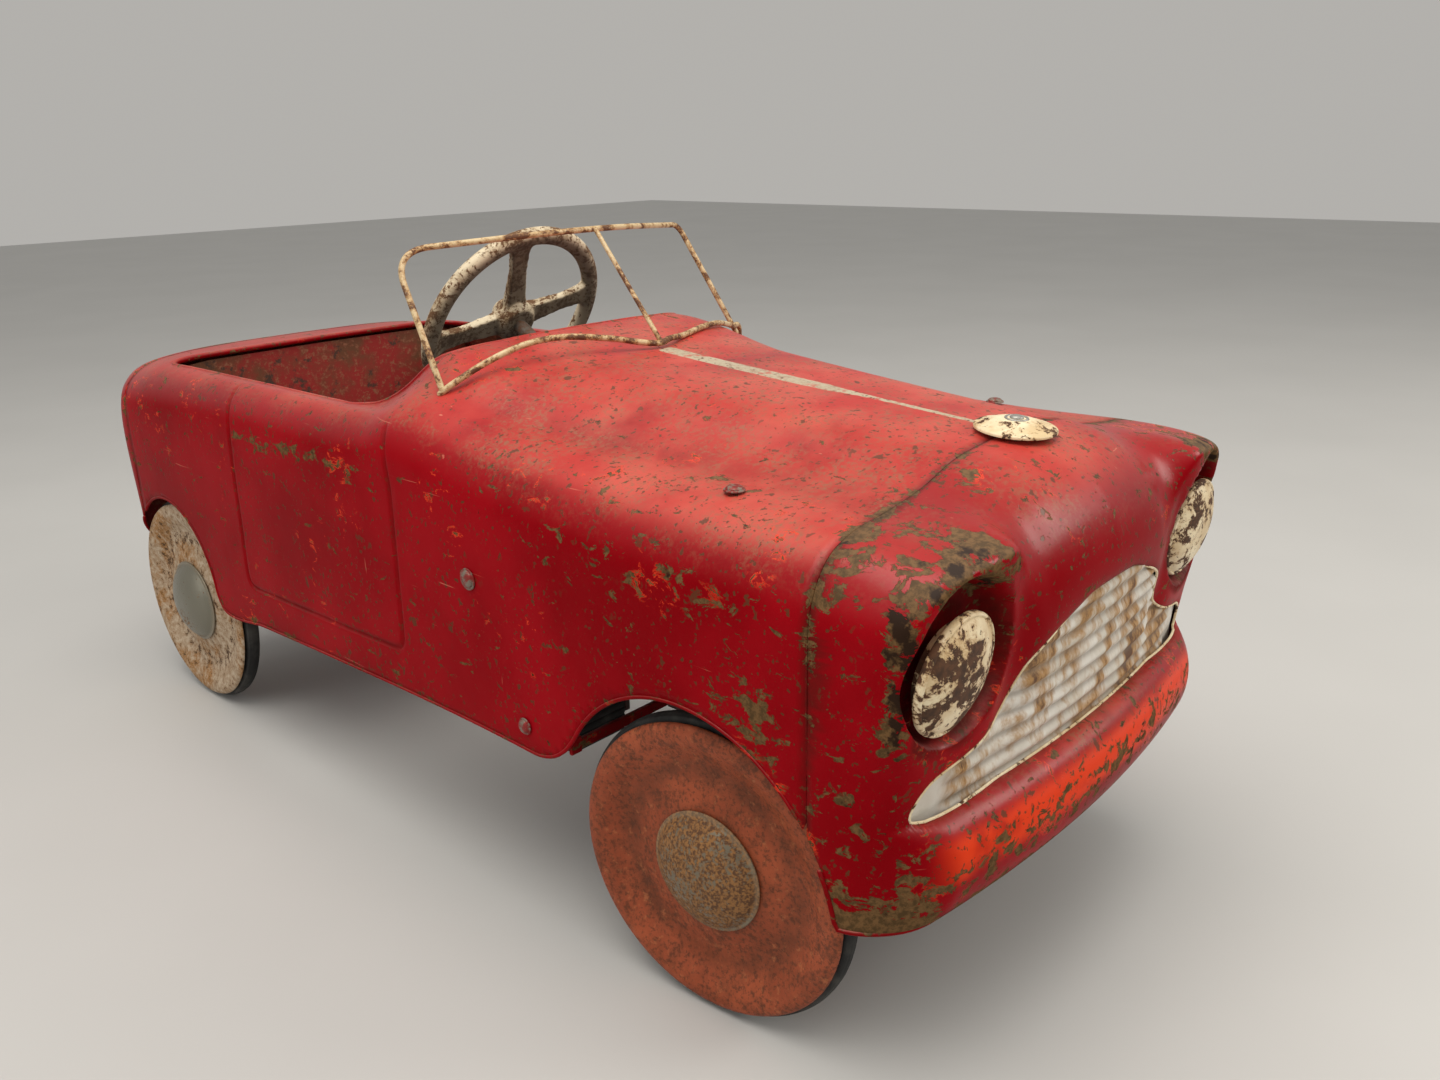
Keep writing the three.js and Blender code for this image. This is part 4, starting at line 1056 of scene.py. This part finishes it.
def window_lip():
    """The thin chipped cream edge of the grille window."""
    flat = along(np.vstack([GRILLE_WINDOW, GRILLE_WINDOW[:1]]), 260)[:-1]
    x, z = flat[:, 0], flat[:, 1]
    y = AXLE_Y + nose_station(x, z, 330) + 1.3
    vertices, faces = tube(np.stack([x, y, z], 1), 0.9, True, 8)
    make("grille window lip", vertices, faces, BADGE_CREAM, "body", "cream_paint")


def tail_panel():
    place = cap_place(TAIL_SEAM, tail_station, TAIL_BOTTOM)
    u_rows, v_rows = np.linspace(0, 1, 50), np.linspace(-1, 1, 150)
    vertices, faces, _ = cut_grid(u_rows, v_rows, place, [in_arch(REAR_ARCH)])
    s, z = vertices[:, 1] - AXLE_Y, vertices[:, 2]
    pressing(
        "tail pressing", "tail_panel", vertices, faces, RED, (0, AXLE_Y + 730, 240),
        wear=0.5 * np.exp(-(s - TAIL_SEAM) / 8) + 0.5 * step(170, 155, z) + 0.25,
        fade=0.4,
        dirt=0.8 * np.exp(-(s - TAIL_SEAM) / 2.5) + 0.5 * step(175, 152, z),
    )

    def at_bottom(p):
        return (p[:, 2] < 200) & (p[:, 1] > AXLE_Y + TAIL_SEAM + 4)

    rim_rolls("tail lower folded edge", vertices, faces, at_bottom, 1.6, lambda p: [0, -1.2, 0])


def grille():
    """A sheet pressed into level ribs, which follows the front face and is plain at its sides."""
    low, high = node_box("grille")
    ribs = 9
    zs = np.linspace(164, high[2] + 1, 156)
    xs = np.linspace(-1, 1, 121)
    edge_z = [164, 201, 206, 212, 219, 228, 239, 252, 263, 271, 275]
    edge_x = [184, 184, 168, 149, 127, 112, 105, 97, 82, 64, 54]
    half = np.interp(zs, edge_z, edge_x)
    x = half[:, None] * xs[None, :]
    z = np.repeat(zs[:, None], len(xs), 1)
    t = (zs - low[2]) / (high[2] - low[2])
    wave = 0.5 - 0.5 * np.cos(2 * math.pi * ribs * t)
    ripple = 1 + 0.18 * np.sin(x / 9 + 2 * np.floor(t * ribs)[:, None])
    plain = step(150, 138, np.abs(x))
    above = np.maximum(z, 182)
    surface = NOSE_SEAM + (face_station(x, above) - NOSE_SEAM) * round_side(np.abs(x), above)
    y = AXLE_Y + surface + 3.7 - 2.3 * wave[:, None] ** 0.8 * ripple * plain
    vertices = np.stack([x.ravel(), y.ravel(), z.ravel()], 1)
    faces = grid_faces(len(zs), len(xs), loop_columns=False)
    obj = make("corrugated grille", vertices, faces, GRILLE, "body", "silver_paint", ["grille"], 60)
    attribute(obj, "rust", plain.ravel())
    # The valley mask is where the grille's ribs get painted shade.
    attribute(obj, "valley", ((1 - wave[:, None]) ** 3 * plain).ravel())
    face_out(obj, (0, AXLE_Y + 100, 230))
    solidify(obj, 0.8)


# ---------- fittings on the body ----------
def headlamp(name, side, material):
    """A pressed lamp cover: a domed lens inside a rolled bezel."""
    profile = np.vstack([
        along([[0, 19.6], [12, 19.0], [22, 16.9], [29, 13.8], [31.6, 11.6]], 26),
        along([
            [32.0, 11.4], [32.8, 12.2], [34.0, 11.6], [34.6, 9.6], [34.0, 7.4], [31, 7.0], [26, 7.0],
        ], 26),
        [[26, 1.0]],
    ])
    vertices, faces = lathe(profile, 96)
    _, y, z = node_centre(name)
    tilt = math.radians(8)
    base = (side * LAMP["x"], y + 13.2 * math.cos(tilt), z + 10.2 * math.sin(tilt))
    vertices = moved(vertices, aimed(base, (0, -math.cos(tilt), -math.sin(tilt)), "Z"))
    weld(make(f"{name} cover", vertices, faces, material, "body", "cream_paint", [name], 50))


def bonnet_badge():
    """A dished disc with a rivet in a ring at its middle, leaning with the bonnet."""
    centre = node_centre("bonnet_badge")
    slope = math.radians(4)
    matrix = aimed((0, centre[1], 352.0), (0, -math.sin(slope), math.cos(slope)))
    profile = [[25, 0.3], [24.8, 1.6], [23, 2.4], [20, 3.0], [14, 5.2], [9, 6.4], [0, 6.9]]
    v, f = lathe(along(profile, 40), 80)
    disc = make(
        "badge dome", moved(v, matrix), f, BADGE_CREAM, "body", "cream_paint", ["bonnet_badge"]
    )
    face_out(weld(disc), centre - [0, 0, 30])
    ring = lathe(along([[7.5, 6.1], [7.2, 7.1], [6.4, 7.3], [5.6, 6.6]], 12), 48)
    rivet = lathe(along([[4.2, 6.2], [4.0, 7.6], [2.6, 8.5], [0, 8.8]], 14), 40)
    v, f = together(ring, rivet)
    weld(make("badge rivet", moved(v, matrix), f, DULL_STEEL, "body", "plating"))


def domed_fastener(node, axis, radius, height):
    """A domed rivet on a thin washer, in place of a CAD node that stands out along axis."""
    low, high = node_box(node)
    away = sum(axis)
    seat = (low + high) / 2 - (high - low) / 2 * np.abs(axis) * away
    profile = along([
        [radius * 1.25, 0.0], [radius * 1.22, 0.7], [radius * 1.02, 0.9],
        [radius * 0.98, height * 0.55], [radius * 0.7, height * 0.9], [0, height],
    ], 30)
    v, f = lathe(profile, 40)
    obj = make(f"{node} head", moved(v, aimed(seat, axis)), f, RIVET, "body", "red_paint", [node])
    face_out(weld(obj), seat - 10 * np.array(axis))


def windscreen():
    """A bent rod frame without a pane. Its points are (x, station, z), with a bend radius
    for the hoop's corners."""
    from_axle = np.array([0, AXLE_Y, 0])
    hoop = np.array([
        (-155.5, 268, 356.5, 0), (-146, 327, 447, 26), (0, 273, 456, 260), (146, 327, 447, 11),
        (155.5, 268, 356.5, 0),
    ])
    rail = np.array([
        (-156.5, 269, 353.5), (-150, 263.5, 359.5), (-128, 253, 372.5), (-100, 243, 382.6),
        (-73, 233, 385.4), (-38, 219.5, 381), (-12, 209, 375.4), (0, 205.4, 374.3),
        (12, 209, 375.4), (38, 219.5, 373.6), (80, 237, 373.6), (110, 249, 371.6),
        (135, 260, 366.6), (150, 266.5, 362.6), (159, 270, 362.6), (164.5, 272.5, 359),
        (165.5, 273, 352),
    ])
    post = np.array([(0, 206.5, 375.6), (0, 273, 454.6)])
    for name, line, radius in (
        ("hoop", rounded(hoop + [*from_axle, 0], 14), SCREEN_ROD),
        ("base_rail", along(rail + from_axle, 130), SCREEN_ROD),
        ("centre_post", np.linspace(*(post + from_axle), 8), SCREEN_ROD - 0.5),
    ):
        v, f = tube(line, radius)
        name = f"windscreen_{name}"
        make(name.replace("_", " "), v, f, ROD, "body", "cream_paint", [name])


# ---------- CAD pieces with softened edges ----------
def dressed(node, body, material, width=0.8, masks=False):
    """A copy of a CAD node with its edges softened by width, in place of it."""
    source = frame["nodes"][node]
    mesh = source.data.copy()
    mesh.materials.clear()
    mesh.materials.append(material)
    obj = bpy.data.objects.new(f"{node}_finished", mesh)
    bpy.context.scene.collection.objects.link(obj)
    bm = bmesh.new()
    bm.from_mesh(mesh)
    bmesh.ops.remove_doubles(bm, verts=bm.verts, dist=0.01 * MM)
    bmesh.ops.dissolve_limit(bm, angle_limit=math.radians(0.5), verts=bm.verts, edges=bm.edges)
    bm.to_mesh(mesh)
    bm.free()
    cad_normals = mesh.attributes.get("custom_normal")
    if cad_normals:
        mesh.attributes.remove(cad_normals)
    shade(obj, 33)
    bevel(obj, width)
    if masks:
        paint_masks(obj, wear=0.45, fade=0.5, dirt=0.4)
    attach(obj, body, [node])


# ---------- wheels ----------
# Each is [radius, distance out from the wheel's plane].
WHEEL_FACE = along([
    [26, 8.2], [34, 7.8], [42, 6.2], [52, 3.9], [62, 2.7], [70, 3.7], [77, 6.7], [83, 9.6],
    [88, 10.8], [92.5, 10.8], [95.4, 9.8], [96.6, 8.2],
], 90)
WHEEL_BACK = along([
    [7, -11], [13, -10.8], [15, -9.6], [34, -9.2], [50, -6.4], [66, -6.2], [78, -9.0],
    [88, -9.6], [92.6, -8.6], [93.6, -7.3],
], 70)
TYRE = along([
    [84, -5.6], [92, -6.4], [95.4, -6.6], [98.2, -5.8], [99.2, -4.4], [99.4, -3.2], [100, -2.0],
    [100, 2.0], [99.4, 3.2], [99.2, 4.2], [98.4, 5.1], [95.4, 5.8], [92, 5.8], [84, 5.4],
], 60)
HUBCAP = np.vstack([
    along([[39.4, 7.9], [39.6, 8.7], [38.8, 9.3], [37.6, 9.5]], 10),
    along([[37.0, 10.1], [33, 14.0], [26, 18.0], [17, 21.0], [8, 22.3], [0, 22.5]], 40),
])


def wheel(name, side, spin, body, plane, paint, slot, cap_paint):
    """Two pressed discs, a tyre and a hubcap. The wheel's plane is plane mm out from its joint,
    or, for a rear wheel, from the car's centre plane."""
    origin = Vector(pivot(spin))
    if name.startswith("rear"):
        origin.x = 0
    out = (Vector(joints[spin]["axis"]) * side).normalized()
    place = aimed(origin + out * plane, out, "Z")

    def piece(what, node, profile, segments, material, slot, smooth_angle, closed=False):
        v, f = lathe(profile, segments, closed)
        v = moved(v, place)
        return make(f"{name} {what}", v, f, material, body, slot, [f"{name}_{node}"], smooth_angle)

    for what, node, profile, shaded_ring, inner, inside in (
        ("disc face", "disc", WHEEL_FACE, (64, 8), 0.6, -60),
        ("back face", "back_plate", WHEEL_BACK, (58, 12), 0, 60),
    ):
        disc = piece(what, node, profile, 128, paint, slot, 60)
        face_out(disc, origin + out * (plane + inside))
        radius = np.tile(profile[:, 0], 128)
        # The ring mask: painted shade along the pressed valley, and a darker band just outside the
        # hubcap on the face.
        attribute(disc, "ring", bump(radius, *shaded_ring) + inner * step(46, 38, radius))
        solidify(disc, 1.0)
    piece("tyre ring", "tyre", TYRE, 128, RUBBER, "tyre", 50, closed=True)
    hubcap = weld(piece("domed hubcap", "hubcap", HUBCAP, 96, cap_paint, "plating", 60))
    face_out(hubcap, origin + out * (plane - 20))
    local = np.array([(place.inverted() @ (p.co / MM)) for p in hubcap.data.vertices])
    # The rim mask picks out the hubcap's rolled edge for its painted highlight.
    attribute(hubcap, "rim", step(36.5, 37.6, np.hypot(local[:, 1], local[:, 2])))


# ---------- steering ----------
RIM_RADIUS = 81
RIM_HALF_WIDTH = 7.6
RIM_HALF_DEPTH = 6.6
SPOKE_ANGLES = (-16, 72, -104)
# Down a spoke: distance from the hub's axis, half width, half depth, height above the rim's plane.
SPOKE = [
    (6, 11.5, 6.0, 2.0), (24, 9.0, 4.2, 0.5), (50, 7.4, 3.4, 0), (68, 8.4, 3.8, 0),
    (78, 12.0, 4.5, 0),
]
HUB = [
    [0, -10], [15, -10], [18, -6], [19, 0], [15.5, 5], [12.5, 12], [10, 16.5], [6, 18.5], [0, 19],
]
# The front wheels rest turned by 5 degrees, and turn 70 for the steering wheel's 60.
REST_TURN = math.radians(5) * 60 / 70


def steering_wheel():
    """A one-piece casting: a rim, a hub and three spokes, joined by a remesh and softened."""
    axis = Vector(joints["steering"]["axis"]).normalized()
    across = Vector((1, 0, 0))
    basis = Matrix((across, axis, across.cross(axis))).transposed().to_4x4()
    place = Matrix.Translation(Vector(pivot("steering"))) @ basis @ Matrix.Rotation(REST_TURN, 4, "Y")
    segments, sides = 96, 20
    rim = []
    for a in np.linspace(0, 2 * math.pi, segments, endpoint=False):
        for b in np.linspace(0, 2 * math.pi, sides, endpoint=False):
            reach = RIM_RADIUS + RIM_HALF_WIDTH * math.cos(b)
            rim.append((reach * math.sin(a), RIM_HALF_DEPTH * math.sin(b), reach * math.cos(a)))
    parts = [(np.array(rim), grid_faces(segments, sides, True))]
    corners = ((-1, -1), (1, -1), (1, 1), (-1, 1))
    spoke = np.array([(i * w, lift + k * h, r) for r, w, h, lift in SPOKE for i, k in corners])
    spoke_faces = grid_faces(len(SPOKE), 4) + [(3, 2, 1, 0), (16, 17, 18, 19)]
    for angle in SPOKE_ANGLES:
        turned = Matrix.Rotation(math.radians(angle), 4, "Y")
        parts.append((moved(spoke, turned), spoke_faces))
    v, f = lathe(HUB, 48)
    parts.append((moved(v, Matrix.Rotation(math.radians(90), 4, "Z")), f))
    v, f = together(*parts)
    name = "steering wheel casting"
    obj = make(name, moved(v, place), f, BONE, "steering", "cream_paint", ["steering_wheel"], 80)
    remesh = obj.modifiers.new("one casting", "REMESH")
    remesh.mode = "VOXEL"
    remesh.voxel_size = 1.25 * MM
    remesh.use_smooth_shade = True
    smooth = obj.modifiers.new("soft fillets", "SMOOTH")
    smooth.factor = 0.6
    smooth.iterations = 7


def steering_column():
    """A smooth shaft round the CAD's faceted one, whose clamp, drop arm and ball are dressed."""
    top = pivot("steering")
    axis = unit(np.array(joints["steering"]["axis"]))
    low = node_box("steering_column")[0]
    length = (top[1] - low[1] - 11) / axis[1]
    foot = top - axis * (length - 2)
    v, f = tube([top - axis * 8, foot + axis * 8, foot], 6, sides=24)
    make("steering shaft", v, f, STEEL, "steering", "bare_steel")
    dressed("steering_column", "steering", STEEL, 0.6)


def pedal_pad(name):
    """A rubber pedal block with ribs round it, narrower at its ends."""
    node = f"pedal_pad_{name}"
    low, high = node_box(node)
    ribs = 7
    zs = np.linspace(low[2] + 2, high[2] - 2, ribs * 6 + 1)
    t = np.linspace(0, 1, len(zs))
    ripple = 1.1 * np.abs(np.cos(math.pi * ribs * t)) ** 0.5
    half = (high[1] - low[1]) / 2 - 1.2 + ripple - 2.6 * np.abs(2 * t - 1) ** 8
    y0 = (low[1] + high[1]) / 2
    outline = [(y0 - h, z) for h, z in zip(half, zs)]
    outline += [(y0 + h, z) for h, z in zip(half[::-1], zs[::-1])]
    n = len(outline)
    v = [(x, y, z) for x in (low[0], high[0]) for y, z in outline]
    f = grid_faces(2, n) + [tuple(range(n)), tuple(range(2 * n - 1, n - 1, -1))]
    obj = make(f"pedal block {name}", v, f, RUBBER, f"pedal_{name}", "rubber", [node], 30)
    bevel(weld(obj), 0.8)


# ---------- assembly ----------
body_shell()
nose_panel()
window_lip()
tail_panel()
grille()
headlamp("headlamp_right", -1, LAMP_NEAR)
headlamp("headlamp_left", 1, LAMP_FAR)
bonnet_badge()
windscreen()

SIDES = {"left": 1, "right": -1}
FRONT_WHEEL_OUT = 26
REAR_WHEEL_OUT = 176

for name, side in SIDES.items():
    domed_fastener(f"wing_bolt_{name}", (0, 0, 1), 5.2, 3.0)
    domed_fastener(f"sill_bolt_{name}", (side, 0, 0), 4.8, 2.9)
    domed_fastener(f"pivot_rod_head_{name}", (side, 0, 0), 6.2, 3.0)

for name, side in SIDES.items():
    name = f"front_wheel_{name}"
    wheel(name, side, f"{name}_spin", name, FRONT_WHEEL_OUT, OXIDE, "oxide_red", CAP_RUSTED)
for name, spin, body in (
    ("left", "rear_axle_spin", "rear_axle"), ("right", "rear_wheel_right_spin", "rear_wheel_right"),
):
    side = SIDES[name]
    name = f"rear_wheel_{name}"
    wheel(name, side, spin, body, REAR_WHEEL_OUT, RUSTED, "rusty_cream", CAP_DULL)

steering_wheel()
steering_column()
for name in SIDES:
    pedal_pad(name)

for node in ("seat_pan", "dash_panel", "middle_crossmember"):
    dressed(node, "body", RED, 0.7, masks=True)
dressed("rear_bulkhead", "body", INSIDE, 0.7)
for node in (
    "chassis_rail_left", "chassis_rail_right", "front_axle_beam", "steering_crossmember",
    "front_crossmember", "rear_crossmember", "rear_axle_hanger_left", "rear_axle_hanger_right",
):
    dressed(node, "body", CHASSIS)
for node in ("steering_column_bush", "pedal_pivot_rod"):
    dressed(node, "body", STEEL, 0.5)
dressed("track_rod", "track_rod", CHASSIS, 0.6)
dressed("rear_axle", "rear_axle", STEEL, 0.6)
for name in SIDES:
    dressed(f"knuckle_{name}", f"knuckle_{name}", CHASSIS, 0.6)
    dressed(f"kingpin_{name}", f"knuckle_{name}", STEEL, 0.5)
    dressed(f"connecting_rod_{name}", f"connecting_rod_{name}", STEEL, 0.6)
    dressed(f"pedal_lever_{name}", f"pedal_{name}", CHASSIS, 0.7)


# ---------- studio ----------
def studio():
    shader = Shader("pale floor")
    shader.colour = shader.mix(shader.noise(3, 3, 0.5), (0.50, 0.50, 0.49), (0.56, 0.56, 0.55))
    bpy.ops.mesh.primitive_plane_add(size=14, location=(0, 0, 0))
    floor = bpy.context.object
    floor.name = "floor"
    floor.data.materials.append(shader.done(0.6))
    world = bpy.data.worlds.new("studio")
    bpy.context.scene.world = world
    world.use_nodes = True
    sky = world.node_tree.nodes["Background"]
    sky.inputs["Color"].default_value = (1.0, 0.97, 0.92, 1)
    sky.inputs["Strength"].default_value = 0.45
    for name, place, aim, size, power, colour in (
        ("overhead", (-0.5, -0.2, 2.2), (0, 0, 0.2), 2.0, 44, (1, 0.95, 0.88)),
        ("front window", (1.6, -2.2, 1.7), (0, -0.1, 0.2), 1.4, 34, (1, 0.94, 0.86)),
        ("side window", (-2.4, 0.2, 1.2), (0, 0, 0.2), 1.4, 7, (1, 0.97, 0.94)),
    ):
        light = bpy.data.lights.new(name, "AREA")
        light.size = size
        light.energy = power
        light.color = colour
        obj = bpy.data.objects.new(name, light)
        obj.location = place
        obj.rotation_euler = (Vector(aim) - Vector(place)).to_track_quat("-Z", "Y").to_euler()
        bpy.context.scene.collection.objects.link(obj)
    bpy.context.scene.view_settings.view_transform = "Standard"


# The photograph's view: in front of the car's right wing, a little above it. The place is in
# millimetres, with Y from the front axle, and the angles are in degrees.
CAMERA_X, CAMERA_STATION, CAMERA_Z = -618.2, -416.9, 519.5
CAMERA_AZIMUTH, CAMERA_PITCH, CAMERA_ROLL = -47.5, 19.1, -1.1
CAMERA_LENS = 29.065


def camera():
    azimuth, pitch, roll = (math.radians(a) for a in (CAMERA_AZIMUTH, CAMERA_PITCH, CAMERA_ROLL))
    level = math.cos(pitch)
    forward = Vector((-math.sin(azimuth) * level, math.cos(azimuth) * level, -math.sin(pitch)))
    right = forward.cross(Vector((0, 0, 1))).normalized()
    up = right.cross(forward)
    rolled_right = right * math.cos(roll) + up * math.sin(roll)
    rolled_up = up * math.cos(roll) - right * math.sin(roll)
    data = bpy.data.cameras.new("photograph")
    data.sensor_width = 36
    data.lens = CAMERA_LENS
    obj = bpy.data.objects.new("photograph", data)
    rotation = Matrix((rolled_right, rolled_up, -forward)).transposed().to_4x4()
    place = Vector((CAMERA_X, AXLE_Y + CAMERA_STATION, CAMERA_Z)) * MM
    obj.matrix_world = Matrix.Translation(place) @ rotation
    bpy.context.scene.collection.objects.link(obj)
    bpy.context.scene.camera = obj


studio()
camera()
